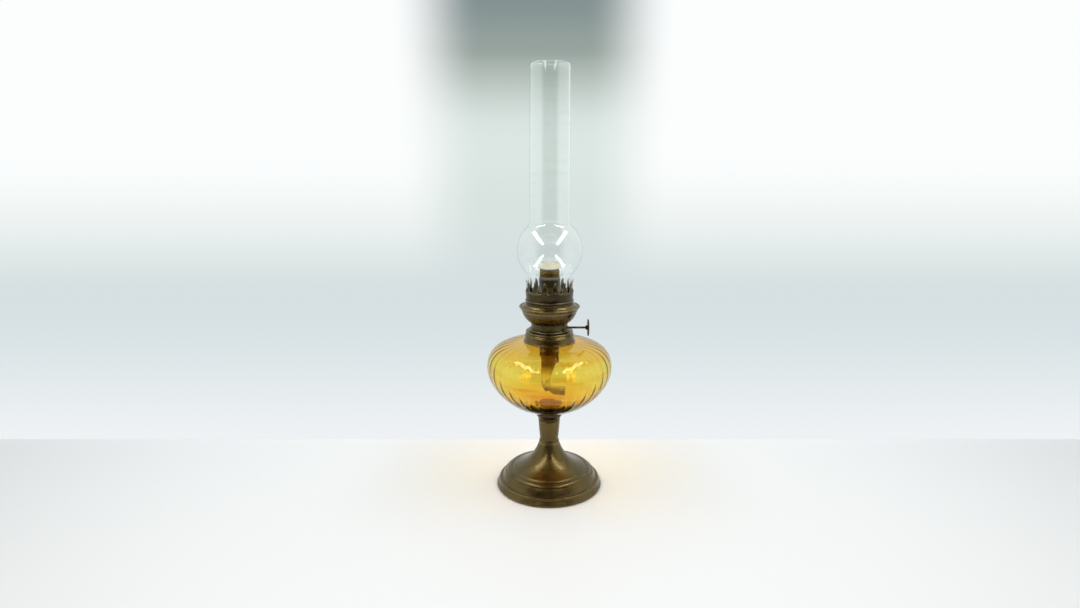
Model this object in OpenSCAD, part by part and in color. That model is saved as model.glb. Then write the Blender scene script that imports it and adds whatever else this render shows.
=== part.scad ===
// Kerosene lamp with a weighted brass foot, a ribbed glass font and a round-wick burner.
// Units are millimetres. The lamp stands on z = 0 and its axis is the z axis.

/* [Foot] */
// Height of the foot shell, from the table to the stem joint
foot_h = 57; // [50:0.5:65]
// Radius of the rim band, the widest part of the foot
foot_rim_r = 66.2; // [60:0.2:74]
// Height of the rim band
foot_rim_h = 10; // [8:0.5:11]
// Width of the ledge from the rim band in to the round step
foot_ledge_w = 6.8; // [5.4:0.2:8.4]
// Width of the round step and the small ring, in to the foot of the cone
foot_step_w = 15; // [13.4:0.2:19.4]
// Height of the foot of the cone
foot_cone_z = 23.9; // [22:0.1:28]
// Radius at the top of the foot, under the stem joint
foot_neck_r = 12.6; // [11.5:0.1:14]
// Thickness of the spun brass sheet
shell_t = 0.9; // [0.6:0.1:1.4]
// Gap between the shell and the cast weight
ballast_gap = 0.4; // [0.2:0.1:1]
// How far the weight's underside sits above the table
ballast_lift = 2.5; // [1:0.5:4]

/* [Stem and tie rod] */
// Length of the stem sleeve
stem_h = 29; // [22:1:40]
// Radius of the sleeve at its narrowest
stem_waist_r = 11.5; // [10:0.1:12.4]
// Radius of the sleeve at its top, under the cup
stem_lip_r = 13.4; // [12.6:0.1:15]
// Radius of the threaded rod
rod_r = 3; // [2:0.5:4]
// Clearance of the rod in its holes
rod_play = 0.3; // [0.2:0.1:0.6]
// Width of the nut across its flats
nut_flats = 10; // [9:0.5:13]
// Height of the nut
nut_h = 4.8; // [3:0.2:6]
// Radius of the washer
washer_r = 9; // [8:0.5:12]
// Thickness of the washer
washer_t = 1.6; // [1:0.2:2.4]

/* [Font] */
// Radius of the glass font at its widest
font_r = 76.5; // [65:0.5:90]
// Height of the font below its widest level
font_low_h = 58.5; // [45:0.5:70]
// Height of the font above its widest level
font_up_h = 32.2; // [26:0.2:42]
// Wall thickness of the glass
font_wall = 3.2; // [2.4:0.2:4.5]
// Thickness of the glass at the bottom
font_base_t = 6; // [4:0.5:9]
// Outer radius of the glass neck
font_neck_r = 27; // [26:0.1:27.6]
// Height of the glass neck above the shoulder
font_neck_h = 7.5; // [5:0.5:9]
// Radius of the brass cup under the glass
cup_r = 17; // [16:0.5:24]
// Height of the cup below the glass
cup_h = 11; // [9:0.5:14]
// Thickness of the cement bed between cup and glass
cement_t = 1; // [0.6:0.2:2]

/* [Collar] */
// Radius of the collar's flange
collar_flange_r = 31.6; // [31:0.1:34]
// Radius of the collar's wall at the top
collar_top_r = 29; // [28.6:0.1:30]
// Height of the collar
collar_h = 11; // [10:0.5:14]
// Thickness of the collar's brass
collar_t = 0.9; // [0.7:0.1:1.2]
// Radius of the threaded mouth
mouth_r = 22; // [21.6:0.1:22.6]
// Radial play of the screw thread
thread_play = 0.35; // [0.3:0.05:0.5]
// Depth of the threaded skirt
thread_h = 8; // [6:0.5:9]

/* [Burner] */
// Radius of the burner ring's lower bead
ring_bead_r = 28.9; // [28:0.1:30.5]
// Height of the burner ring above the collar
ring_h = 6.3; // [6:0.1:7.5]
// Radius of the waist of the basket
waist_r = 22.2; // [22:0.1:23]
// Height of the waist, up to the bowl
waist_h = 6.4; // [5.6:0.2:8]
// Greatest radius of the perforated bowl
bowl_r = 33.4; // [32.4:0.1:34.4]
// Height of the bowl
bowl_h = 17; // [15:0.5:21]
// Thickness of the burner's sheet brass
sheet_t = 0.7; // [0.5:0.1:0.9]
// Radius of the gallery's rolled rim
gallery_rim_r = 36.8; // [36:0.1:39]
// Height of the gallery ring
gallery_h = 6.6; // [6:0.2:9]
// Number of air holes in one row of the bowl
bowl_holes = 24; // [18:1:32]
// Radius of an air hole in the bowl
bowl_hole_r = 1.2; // [0.8:0.1:1.5]

/* [Crown and chimney] */
// Outer radius of the crown
crown_r = 29; // [28.6:0.1:30]
// Height of the crown's solid wall
crown_wall_h = 14.6; // [12:0.2:16]
// Height of the prongs above the wall
prong_h = 13.5; // [9:0.5:16]
// Number of prongs
prong_count = 14; // [10:1:18]
// Width of a prong at its foot
prong_foot_w = 8; // [6:0.2:9]
// Width of a prong at its tip
prong_tip_w = 1.6; // [1:0.2:2.4]
// Height of the chimney's seat above the crown's underside
seat_z = 6.4; // [5.6:0.2:8]
// Radius of the chimney's foot
chimney_foot_r = 26.4; // [26:0.1:26.8]
// Radius of the chimney's ball
ball_r = 39.3; // [36:0.1:44]
// Height of the ball's middle above the chimney's foot
ball_z = 56.8; // [52:0.2:62]
// Radius of the chimney's tube at its top
tube_top_r = 23.4; // [21:0.1:25]
// Length of the chimney
chimney_h = 268; // [230:1:300]
// Wall thickness of the chimney
chimney_wall = 1.6; // [1.2:0.1:2.2]

/* [Wick and winder] */
// Outer radius of the wick tube
wick_tube_r = 11.9; // [11.6:0.1:12.4]
// Wall thickness of the wick tubes
tube_t = 0.5; // [0.4:0.1:0.6]
// Thickness of the woven wick
wick_t = 1.6; // [1.2:0.1:1.8]
// Gap between the wick and each tube
wick_gap = 0.35; // [0.3:0.05:0.5]
// Height of the tube's rim above the chimney's seat
wick_tube_up = 35.4; // [30:0.2:40]
// How far the tube reaches below the collar's flange
wick_tube_down = 15.5; // [10:0.5:25]
// Height of the wick above the tube's rim
wick_up = 6.8; // [5:0.2:9]
// Radius of the spindle
spindle_r = 1.3; // [1:0.1:1.6]
// Running clearance of the spindle in its bearings
spindle_play = 0.06; // [0.04:0.01:0.1]
// Distance from the lamp's axis to the knob
knob_x = 46; // [42:0.5:52]
// Radius of the knob
knob_r = 10; // [8:0.2:12]
// Thickness of the knob
knob_t = 1.8; // [1.2:0.2:2.6]
// Number of teeth on a wick gear
gear_teeth = 9; // [7:1:12]
// Thickness of a wick gear
gear_t = 1.2; // [0.8:0.1:1.6]

/* [Hidden] */
$fn = 96;

// Levels of the stack, from the table upwards
stem_z = foot_h;
cup_z = stem_z + stem_h;
font_z = cup_z + cup_h;
font_mid_z = font_z + font_low_h;
collar_z = font_mid_z + font_up_h;
ring_z = collar_z + collar_h;
turning_gap = 0.15;
burner_z = ring_z + ring_h + turning_gap;
bowl_z = burner_z + waist_h;
gallery_z = bowl_z + bowl_h;
plate_z = gallery_z + gallery_h;
crown_z = plate_z + sheet_t;
chimney_z = crown_z + seat_z;
wick_rim_z = chimney_z + wick_tube_up;
wick_end_z = collar_z - wick_tube_down;

// A seam left between brazed or cemented pieces with round faces
seam = 0.06;

// The glass font's outline: exponents of its two superellipse quarters
low_pow_z = 1.78;
low_pow_r = 1.96;
up_pow_z = 2.32;
up_pow_r = 4.48;
form_steps = 18;

// The winder: wheel size, places along the spindle and the slots in the tube
gear_r = 4;
gear_root_r = 2.8;
gear_x = 5;
bite_gap = 0.3;
ear_x = 8;
ear_t = 1;
bush_r = 1.9;
wick_out_r = wick_tube_r - tube_t - wick_gap;
wick_in_r = wick_out_r - wick_t;
draught_r = wick_in_r - wick_gap;
spindle_y = -(sqrt(pow(wick_out_r, 2) - pow(gear_x - gear_t / 2, 2)) + bite_gap + gear_r);
bush_edge = 1.0;
spindle_z = burner_z + bush_edge + bush_r + seam;
bush_x = sqrt(pow(waist_r, 2) - pow(spindle_y, 2));
spindle_bore_r = spindle_r + spindle_play;
press_r = spindle_r + 0.02;

// The air port that joins the draught tube to the basket, at the back
port_w = 6;
port_h = 9;
port_z = burner_z + 7;
port_out_r = wick_tube_r + 1.5;
tube_floor = 3;

// How far the wick can be wound down and up
wick_down = 8;
wick_raise = 3;

function arc(c, r, from, to, n) =
    [for (i = [0:n]) let (a = from + (to - from) * i / n) [c[0] + r * cos(a), c[1] + r * sin(a)]];
function bend(p, q, s, n) =
    [for (i = [0:n]) let (t = i / n) (1 - t) * (1 - t) * p + 2 * t * (1 - t) * q + t * t * s];
function flip(pts) = [for (i = [len(pts) - 1:-1:0]) pts[i]];
function shift(pts, by) = [for (p = pts) p + by];

module turned(pts) rotate_extrude() polygon(pts);
module rod_x(r, from, to) translate([from, 0, 0]) rotate([0, 90, 0]) cylinder(r = r, h = to - from);

// Foot: outline of the bell from the table to the stem joint, always inwards and upwards
// The step meets the small ring in a groove, and the ring runs up to the sweep of the cone
ring_w = 9.6;
ring_groove = 1.4;
ring_drop = 5;
cone_flare = 6.9;
cone_rise = 8.6;
foot_step_r = foot_rim_r - foot_ledge_w;
foot_cone_r = foot_step_r - foot_step_w;
ring_out_r = foot_cone_r + ring_w;
ring_low_z = foot_cone_z - ring_drop;
hem_round = 1.2;
foot_skin = concat(
    [[foot_rim_r - hem_round, 0], [foot_rim_r, 1.4], [foot_rim_r - 0.2, 2.4],
     [foot_rim_r - 2.8, foot_rim_h - 3.6], [foot_rim_r - 3.4, foot_rim_h]],
    bend([foot_step_r, foot_rim_h + 0.4], [foot_step_r - 1.4, foot_rim_h + 4],
         [ring_out_r + ring_groove, ring_low_z - 0.4], 6),
    bend([ring_out_r, ring_low_z], [ring_out_r - 1.4, foot_cone_z - 1.2],
         [foot_cone_r + 2.4, foot_cone_z - 0.9], 5),
    bend([foot_cone_r, foot_cone_z], [foot_neck_r + cone_flare, foot_cone_z + cone_rise],
         [foot_neck_r, foot_h], 12));
hem_w = 2.4;
hem_t = 2 * shell_t;
foot_in = -0.8 * shell_t;

module foot_shell() {
    lining = [for (i = [2:len(foot_skin) - 1]) foot_skin[i] + [foot_in, foot_in]];
    color([0.42, 0.34, 0.2])
    turned(concat(foot_skin,
                  [[foot_neck_r + foot_in, foot_h]],
                  flip(lining),
                  [[foot_rim_r - hem_round - hem_w, hem_t], [foot_rim_r - hem_round - hem_w, 0]]));
}

// Cast weight that fills the bell, with a pocket for the nut
ballast_in = foot_in - ballast_gap;
pocket_r = washer_r + 2;
thread_end = 1.7;
rod_low_z = ballast_lift + 1.5;
pocket_z = rod_low_z + thread_end + nut_h + washer_t;
module foot_ballast() {
    top = [for (i = [5:len(foot_skin) - 6]) foot_skin[i] + [ballast_in, ballast_in]];
    last = top[len(top) - 1];
    color([0.16, 0.15, 0.14])
    turned(concat([[pocket_r, ballast_lift], [top[0][0], ballast_lift]],
                  top,
                  [[rod_r + rod_play, last[1]], [rod_r + rod_play, pocket_z], [pocket_r, pocket_z]]));
}

// The rod ends in a blind hole in the cup
cup_roof = 1.2;
rod_top_z = font_z - cement_t - cup_roof;
module tie_rod() {
    color([0.5, 0.5, 0.5])
    translate([0, 0, rod_low_z])
    cylinder(r = rod_r, h = rod_top_z - rod_low_z);
}

module tie_rod_washer() {
    color([0.55, 0.55, 0.55])
    translate([0, 0, pocket_z - washer_t])
    difference() {
        cylinder(r = washer_r, h = washer_t);
        translate([0, 0, -1]) cylinder(r = rod_r + rod_play, h = washer_t + 2);
    }
}

module tie_rod_nut() {
    color([0.6, 0.58, 0.5])
    translate([0, 0, pocket_z - washer_t - nut_h])
    difference() {
        cylinder(r = nut_flats / sqrt(3), h = nut_h, $fn = 6);
        translate([0, 0, -1]) cylinder(r = rod_r + seam, h = nut_h + 2);
    }
}

// Stem: thin sleeve, a little waisted above the foot, that widens up to the cup
module stem_sleeve() {
    skin = concat(
        [[foot_neck_r - 0.1, stem_z], [foot_neck_r, stem_z + 1.2], [stem_waist_r + 0.3, stem_z + 3.2]],
        bend([stem_waist_r, stem_z + 5.4], [stem_lip_r - 0.8, stem_z + 15], [stem_lip_r, cup_z - 1], 9),
        [[stem_lip_r - 0.3, cup_z]]);
    color([0.4, 0.35, 0.22])
    turned(concat(skin, flip(shift(skin, [-shell_t, 0]))));
}

// Font: outer and inner forms are the same two superellipse quarters at different sizes
function form_z(r, top_r, h, pow_r, pow_z) = h * pow(max(0, 1 - pow(r / top_r, pow_r)), 1 / pow_z);
function form_low(wide, h) =
    [for (i = [0:form_steps]) let (r = wide * sin(90 * i / form_steps))
        [r, font_mid_z - form_z(r, wide, h, low_pow_r, low_pow_z)]];
function form_up(wide, h, neck) =
    let (last = asin(neck / wide))
    [for (i = [1:form_steps]) let (r = wide * sin(90 + (last - 90) * i / form_steps))
        [r, font_mid_z + form_z(r, wide, h, up_pow_r, up_pow_z)]];

module font_form() turned(concat(form_low(font_r, font_low_h), [[0, font_mid_z]]));

// Cup: small turned saucer that the glass is cemented into
cup_blank = 5;
cement_inset = 0.8;
module font_cup() {
    color([0.4, 0.33, 0.2])
    difference() {
        turned(concat([[0, cup_z]],
                      bend([stem_lip_r - 0.5, cup_z], [stem_lip_r + 0.2, cup_z + 4.5], [cup_r, font_z - 3], 6),
                      [[cup_r, font_z + cup_blank], [0, font_z + cup_blank]]));
        translate([0, 0, -cement_t]) font_form();
        translate([0, 0, cup_z - 1]) cylinder(r = rod_r + rod_play, h = rod_top_z - cup_z + 1);
    }
}

module font_cement() {
    color([0.8, 0.77, 0.7])
    difference() {
        intersection() {
            translate([0, 0, -cement_t]) font_form();
            cylinder(r = cup_r - cement_inset, h = font_mid_z);
        }
        font_form();
    }
}

module font() {
    neck_in_r = font_neck_r - font_wall;
    color([0.86, 0.6, 0.13])
    turned(concat(form_low(font_r, font_low_h),
                  form_up(font_r, font_up_h, font_neck_r),
                  [[font_neck_r, collar_z + font_neck_h], [neck_in_r, collar_z + font_neck_h]],
                  flip(form_up(font_r - font_wall, font_up_h - font_wall, neck_in_r)),
                  flip(form_low(font_r - font_wall, font_low_h - font_base_t))));
}

// Collar: flange, slightly conical wall, flat top and a threaded skirt inside the glass neck
collar_foot_r = collar_flange_r - 1.4;
module collar() {
    top_z = collar_z + collar_h;
    color([0.38, 0.31, 0.17])
    turned([[collar_flange_r - 0.4, collar_z], [collar_flange_r, collar_z + 0.4], [collar_flange_r, collar_z + 0.8],
            [collar_flange_r - 0.4, collar_z + 1.2], [collar_foot_r, collar_z + 1.5],
            [collar_top_r, top_z - 0.8], [collar_top_r - 0.5, top_z],
            [mouth_r, top_z], [mouth_r, top_z - thread_h],
            [mouth_r + collar_t, top_z - thread_h], [mouth_r + collar_t, top_z - collar_t],
            [collar_top_r - collar_t, top_z - collar_t], [collar_foot_r - collar_t, collar_z + 1.5],
            [collar_foot_r - collar_t, collar_z]]);
}

module collar_cement() {
    top_z = collar_z + collar_h - collar_t;
    color([0.78, 0.75, 0.68])
    turned([[font_neck_r + seam, collar_z], [collar_foot_r - collar_t - seam, collar_z],
            [collar_foot_r - collar_t - seam, collar_z + 1.5], [collar_top_r - collar_t - seam, top_z],
            [mouth_r + collar_t + seam, top_z], [mouth_r + collar_t + seam, collar_z + font_neck_h],
            [font_neck_r + seam, collar_z + font_neck_h]]);
}

// Burner ring: threaded sleeve, a flange with two beads, hollow underneath
sleeve_out_r = mouth_r - thread_play;
sleeve_in_r = sleeve_out_r - 1;
upper_bead_r = ring_bead_r - 3.4;
module burner_ring() {
    top_z = ring_z + ring_h;
    color([0.44, 0.36, 0.2])
    turned(concat(
        [[sleeve_out_r, ring_z - thread_h + 0.4], [sleeve_out_r, ring_z], [sleeve_out_r + 0.9, ring_z],
         [sleeve_out_r + 0.9, top_z - 1.4], [upper_bead_r - 1.3, top_z - 1.8],
         [upper_bead_r - 1.3, ring_z + 1.9], [ring_bead_r - 1.9, ring_z + 1.6], [ring_bead_r - 1.9, ring_z]],
        arc([ring_bead_r - 1.4, ring_z + 1.4], 1.4, -80, 90, 7),
        [[upper_bead_r + 0.2, ring_z + 2.9], [upper_bead_r - 0.5, ring_z + 3.2]],
        arc([upper_bead_r - 0.9, ring_z + 4.2], 0.9, -50, 90, 6),
        [[upper_bead_r - 2.4, ring_z + 5.3], [upper_bead_r - 3.2, top_z], [sleeve_in_r, top_z],
         [sleeve_in_r, ring_z - thread_h + 0.4]]));
}

// Burner floor: pan inside the ring that closes the burner round the wick tube
pan_r = sleeve_in_r - thread_play;
pan_h = 5.6;
pan_z = burner_z - pan_h;
module burner_floor() {
    color([0.5, 0.42, 0.26])
    turned([[wick_tube_r + seam, pan_z], [pan_r, pan_z], [pan_r, burner_z],
            [waist_r - sheet_t - seam, burner_z], [waist_r - sheet_t - seam, burner_z + sheet_t],
            [pan_r - sheet_t, burner_z + sheet_t], [pan_r - sheet_t, pan_z + sheet_t],
            [wick_tube_r + seam, pan_z + sheet_t]]);
}

// Basket: waist and bowl spun in one piece, with two rows of air holes
bowl_pow = 1.6;
bowl_steps = 6;
basket_hem = 0.7;
drill_reach = 2.5;
function bowl_pt(i) = let (a = 90 * i / bowl_steps)
    [waist_r + (bowl_r - waist_r) * pow(sin(a), bowl_pow), gallery_z - bowl_h * cos(a)];
// A row of holes, drilled square to the wall halfway between two points of the outline
module bowl_row(step, turn) {
    low = bowl_pt(step);
    high = bowl_pt(step + 1);
    tilt = atan2(high[0] - low[0], high[1] - low[1]);
    for (i = [0:bowl_holes - 1])
        rotate([0, 0, (i + turn) * 360 / bowl_holes])
        translate([(low[0] + high[0]) / 2, 0, (low[1] + high[1]) / 2])
        rotate([0, tilt, 0])
        rod_x(bowl_hole_r, -drill_reach, drill_reach);
}
module burner_basket() {
    skin = concat([[waist_r + basket_hem, burner_z], [waist_r + basket_hem, burner_z + 0.8], [waist_r, burner_z + 1.2]],
                  [for (i = [0:bowl_steps]) bowl_pt(i)]);
    lining = [for (i = [0:bowl_steps]) bowl_pt(i) + [-sheet_t, 0.7 * sheet_t * cos(90 * i / bowl_steps)]];
    color([0.34, 0.28, 0.15])
    difference() {
        turned(concat(skin, flip(lining), [[waist_r - sheet_t, burner_z]]));
        bowl_row(2, 0);
        bowl_row(3, 0.5);
        translate([0, spindle_y, spindle_z]) rod_x(bush_r + seam, bush_x - bush_in, waist_r + bush_out);
    }
}

// Gallery ring: skirt over the bowl, rolled rim and a shoulder that slopes up to the crown
skirt_h = 2;
module gallery_ring() {
    skirt_r = bowl_r + seam + sheet_t;
    in_r = crown_r - 1.2;
    rim_z = gallery_z + 2.6;
    hub = [in_r + 1, rim_z];
    skin = concat([[skirt_r, gallery_z - skirt_h], [skirt_r, gallery_z]],
                  bend([skirt_r + 0.4, gallery_z + 0.7], [gallery_rim_r - 0.3, gallery_z + 1.2],
                       [gallery_rim_r, rim_z], 4),
                  bend([gallery_rim_r - 0.2, rim_z + 1], [gallery_rim_r - 5, plate_z - 0.6], [in_r, plate_z], 7));
    lining = [for (p = skin) p + sheet_t * (hub - p) / norm(hub - p)];
    color([0.46, 0.37, 0.2])
    turned(concat(skin, [[in_r, plate_z - sheet_t]],
                  flip([for (i = [2:len(lining) - 2]) lining[i]]),
                  [[skirt_r - sheet_t, gallery_z], [skirt_r - sheet_t, gallery_z - skirt_h]]));
}

// Air plate: perforated disc that closes the basket and carries the crown
plate_hole_r = 1.7;
plate_holes = 24;
plate_ring_r = 23.6;
module air_plate() {
    color([0.4, 0.33, 0.19])
    translate([0, 0, plate_z])
    difference() {
        cylinder(r = crown_r - crown_waist, h = sheet_t);
        translate([0, 0, -1]) cylinder(r = wick_tube_r + seam, h = sheet_t + 2);
        for (i = [0:plate_holes - 1])
            rotate([0, 0, i * 360 / plate_holes])
            translate([plate_ring_r, 0, -1])
            cylinder(r = plate_hole_r, h = sheet_t + 2);
    }
}

// Crown: beaded ring with a seat for the chimney and a circle of pointed prongs
prong_t = 0.7;
glass_gap = 0.3;
seat_in_r = chimney_foot_r - 2.2;
prong_pinch = crown_r - prong_t - chimney_foot_r - glass_gap;
crown_waist = 0.6;
bead_r = 1.1;
bead_z = 3.2;
module prong_gap() {
    pitch = 2 * PI * crown_r / prong_count;
    low = pitch - prong_foot_w;
    high = pitch - prong_tip_w;
    translate([crown_r + 4, 0, crown_z + crown_wall_h])
    rotate([90, 0, -90])
    linear_extrude(12)
    polygon(concat(arc([0, low / 2], low / 2, 180, 360, 8),
                   [[high / 2, prong_h + 1], [-high / 2, prong_h + 1]]));
}
module crown() {
    wall_z = crown_z + crown_wall_h;
    prong_skin = bend([crown_r, wall_z], [crown_r - 2 * prong_pinch, wall_z + prong_h / 2], [crown_r, wall_z + prong_h], 6);
    waist = crown_r - crown_waist;
    in_r = waist - prong_t;
    color([0.36, 0.29, 0.17])
    difference() {
        turned(concat(
            [[waist, crown_z], [waist, crown_z + bead_z - bead_r - 0.2]],
            arc([waist - 0.1, crown_z + bead_z], bead_r, -70, 70, 7),
            [[waist, crown_z + bead_z + bead_r + 0.4], [waist, chimney_z + 1]],
            prong_skin,
            flip(shift(prong_skin, [-prong_t, 0])),
            [[in_r, chimney_z], [seat_in_r, chimney_z], [seat_in_r, chimney_z - sheet_t],
             [in_r, chimney_z - sheet_t], [in_r, crown_z]]));
        for (i = [0:prong_count - 1])
            rotate([0, 0, (i + 0.5) * 360 / prong_count]) prong_gap();
    }
}

// Centring sleeve: stands on the air plate and steadies the wick tube
sleeve_below = 10;
flare_w = 7.6;
flare_h = 20;
flare_foot = 0.8;
module centring_sleeve() {
    in_r = wick_tube_r + seam;
    top_r = in_r + sheet_t;
    top_z = wick_rim_z - sleeve_below;
    foot_r = top_r + flare_w + flare_foot;
    flare = bend([top_r + flare_w, crown_z + 1.2], [top_r + flare_w - 1, crown_z + 0.6 * flare_h],
                 [top_r, crown_z + flare_h], 8);
    color([0.2, 0.17, 0.12])
    turned(concat([[foot_r, crown_z], [foot_r, crown_z + sheet_t]],
                  flare,
                  [[top_r, top_z - 1.4], [top_r + 0.3, top_z - 1], [top_r + 0.3, top_z - 0.3], [top_r, top_z],
                   [in_r, top_z], [in_r, crown_z + flare_h]],
                  flip([for (i = [0:7]) flare[i] + [-sheet_t, -0.7 * sheet_t]]),
                  [[foot_r - 2 * sheet_t, crown_z]]));
}

// Wick tubes: the wick slides in the round gap between them
slot_play = 0.4;
port_cut_y = 2;
module wick_tube() {
    slot_h = 2 * sqrt(pow(gear_r, 2) - pow(-spindle_y - wick_tube_r, 2)) + 3 * slot_play;
    color([0.32, 0.28, 0.14])
    difference() {
        translate([0, 0, wick_end_z]) cylinder(r = wick_tube_r, h = wick_rim_z - wick_end_z);
        translate([0, 0, wick_end_z - 1]) cylinder(r = wick_tube_r - tube_t, h = wick_rim_z - wick_end_z + 2);
        for (side = [-1, 1])
            translate([side * gear_x - gear_t / 2 - slot_play, -wick_tube_r - 1, spindle_z - slot_h / 2])
            cube([gear_t + 2 * slot_play, wick_tube_r, slot_h]);
        port_cut();
    }
}
module port_cut()
    translate([-port_w / 2 - seam, port_cut_y, port_z - seam])
    cube([port_w + 2 * seam, wick_tube_r, port_h + 2 * seam]);

module draught_tube() {
    low_z = port_z - tube_floor;
    color([0.36, 0.3, 0.16])
    difference() {
        translate([0, 0, low_z]) cylinder(r = draught_r, h = wick_rim_z - low_z);
        translate([0, 0, low_z + tube_t]) cylinder(r = draught_r - tube_t, h = wick_rim_z - low_z);
        port_cut();
    }
}

module draught_port() {
    from_y = sqrt(pow(draught_r - tube_t, 2) - pow(port_w / 2, 2));
    color([0.4, 0.33, 0.18])
    difference() {
        translate([-port_w / 2, from_y, port_z]) cube([port_w, port_out_r - from_y, port_h]);
        translate([-port_w / 2 + tube_t, from_y - 1, port_z + tube_t])
        cube([port_w - 2 * tube_t, port_out_r - from_y + 2, port_h - 2 * tube_t]);
    }
}

// Winder: bracket on the wick tube, bush in the neck, spindle, toothed wheels and knob
ear_in_y = 6;
ear_over = 2.6;
ear_out = 2.4;
cradle_w = 3.4;
cradle_gap = 0.6;
module spindle_bracket() {
    low_z = spindle_z - gear_r - cradle_gap - ear_t;
    out_y = spindle_y - ear_out;
    color([0.45, 0.37, 0.22])
    difference() {
        union() {
            for (side = [-1, 1])
                translate([side * ear_x - ear_t / 2, out_y, low_z])
                cube([ear_t, -out_y - ear_in_y, spindle_z - low_z + ear_over]);
            translate([-ear_x, out_y, low_z]) cube([2 * ear_x, cradle_w, ear_t]);
        }
        translate([0, spindle_y, spindle_z]) rod_x(spindle_bore_r, -2 * ear_x, 2 * ear_x);
        translate([0, 0, low_z - 1]) cylinder(r = wick_tube_r + seam, h = 4 * gear_r);
    }
}

bush_in = 3;
bush_out = 2.2;
module spindle_bush() {
    color([0.48, 0.4, 0.22])
    translate([0, spindle_y, spindle_z])
    difference() {
        rod_x(bush_r, bush_x - bush_in, bush_x + bush_out);
        rod_x(spindle_bore_r, bush_x - bush_in - 1, bush_x + bush_out + 1);
    }
}

end_over = 1.2;
module spindle() {
    color([0.3, 0.25, 0.14])
    translate([0, spindle_y, spindle_z])
    rod_x(spindle_r, -ear_x - ear_t / 2 - end_over, knob_x + knob_t / 2 + end_over / 2);
}

module wick_gears() {
    color([0.5, 0.44, 0.26])
    for (side = [-1, 1])
        translate([side * gear_x - gear_t / 2, spindle_y, spindle_z])
        rotate([90, 0, 90])
        linear_extrude(gear_t)
        difference() {
            polygon([for (i = [0:2 * gear_teeth - 1]) let (r = i % 2 == 0 ? gear_r : gear_root_r, a = i * 180 / gear_teeth)
                [r * cos(a), r * sin(a)]]);
            circle(r = press_r);
        }
}

// Knob: flat disc with a rounded edge and a sunk face, on a short boss
boss_r = 2.7;
boss_l = 2.2;
edge = 0.4;
module wick_knob() {
    low = knob_x - knob_t / 2;
    color([0.3, 0.24, 0.13])
    translate([0, spindle_y, spindle_z])
    difference() {
        rotate([0, 90, 0])
        turned([[0, low - boss_l], [boss_r - edge, low - boss_l], [boss_r, low - boss_l + edge], [boss_r, low],
                [knob_r - edge, low], [knob_r, low + edge], [knob_r, low + knob_t - edge],
                [knob_r - edge, low + knob_t], [knob_r - 4 * edge, low + knob_t],
                [knob_r - 5 * edge, low + knob_t - edge], [0, low + knob_t - edge]]);
        rod_x(press_r, low - boss_l - 2, low + knob_t + 2);
    }
}

// Wick: one woven band, curled round between the tubes, open at the back where the air port
// crosses it, and hanging below the tube as a flattened roll that leans to the right.
// Each level holds the middle, the two half axes of the curl and half of its open angle.
wick_mid_r = (wick_out_r + wick_in_r) / 2;
wick_side = 30;
wick_slit = 2.5;
port_slit = 2 + asin((port_w / 2 + wick_gap) / wick_in_r);
function level(z, slit) = [[0, 0, z], [wick_mid_r, 0, 0], [0, wick_mid_r, 0], slit];
wick_levels = [
    level(wick_rim_z + wick_up, wick_slit),
    level(port_z + port_h + wick_down + 22, wick_slit),
    level(port_z + port_h + wick_down + 2, port_slit),
    level(wick_end_z - wick_raise - 1, port_slit),
    [[-0.5, -0.5, wick_end_z - 10], [9.6, 0.8, 0], [0, 8.8, 0], 22],
    [[-2, -1.5, wick_end_z - 17], [7.2, 3, 0], [-2.4, 7.6, 0], 20],
    [[-4.2, -3, wick_end_z - 24], [4.6, 1.8, 0], [-2.6, 9.8, 0], 16],
    [[-6, -4.8, wick_end_z - 31], [3.8, 1, 0.4], [-2, 10.8, 0.6], 14],
    [[-5.4, -6.6, wick_end_z - 37.5], [3.2, 0.8, 1.6], [-1.6, 10.8, -1.4], 14],
    [[-1.4, -8.2, wick_end_z - 42.5], [2.2, 1, 3], [-1.2, 10.2, -4], 14],
    [[5, -9, wick_end_z - 45.6], [0.9, 1.4, 3.6], [-0.8, 9.6, -6.2], 14],
    [[12.5, -9.2, wick_end_z - 47.2], [0.4, 1.8, 3.7], [-0.4, 9.2, -7], 14],
    [[20, -9, wick_end_z - 47.8], [0.3, 2, 3.7], [0.3, 9, -7.4], 14]];
function curl(lv, k, t) =
    let (a = 90 + lv[3] + (360 - 2 * lv[3]) * k / wick_side, u = norm(lv[1]), v = norm(lv[2]),
         out = [v * cos(a), u * sin(a)] / norm([v * cos(a), u * sin(a)]))
    lv[0] + lv[1] * (cos(a) + t * out[0] / u) + lv[2] * (sin(a) + t * out[1] / v);
module wick() {
    n = 2 * (wick_side + 1);
    m = len(wick_levels);
    pts = [for (lv = wick_levels) each concat(
        [for (k = [0:wick_side]) curl(lv, k, wick_t / 2)],
        [for (k = [wick_side:-1:0]) curl(lv, k, -wick_t / 2)])];
    walls = [for (i = [0:m - 2], j = [0:n - 1]) let (a = i * n + j, b = i * n + (j + 1) % n)
        each [[a, b, b + n], [a, b + n, a + n]]];
    ends = [for (i = [0, m - 1], k = [0:wick_side - 1])
        let (a = i * n + k, b = a + 1, c = i * n + n - 2 - k, d = c + 1)
        each (i == 0 ? [[a, c, b], [a, d, c]] : [[a, b, c], [a, c, d]])];
    color([0.84, 0.78, 0.6]) polyhedron(points = pts, faces = concat(walls, ends), convexity = 6);
}

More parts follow.
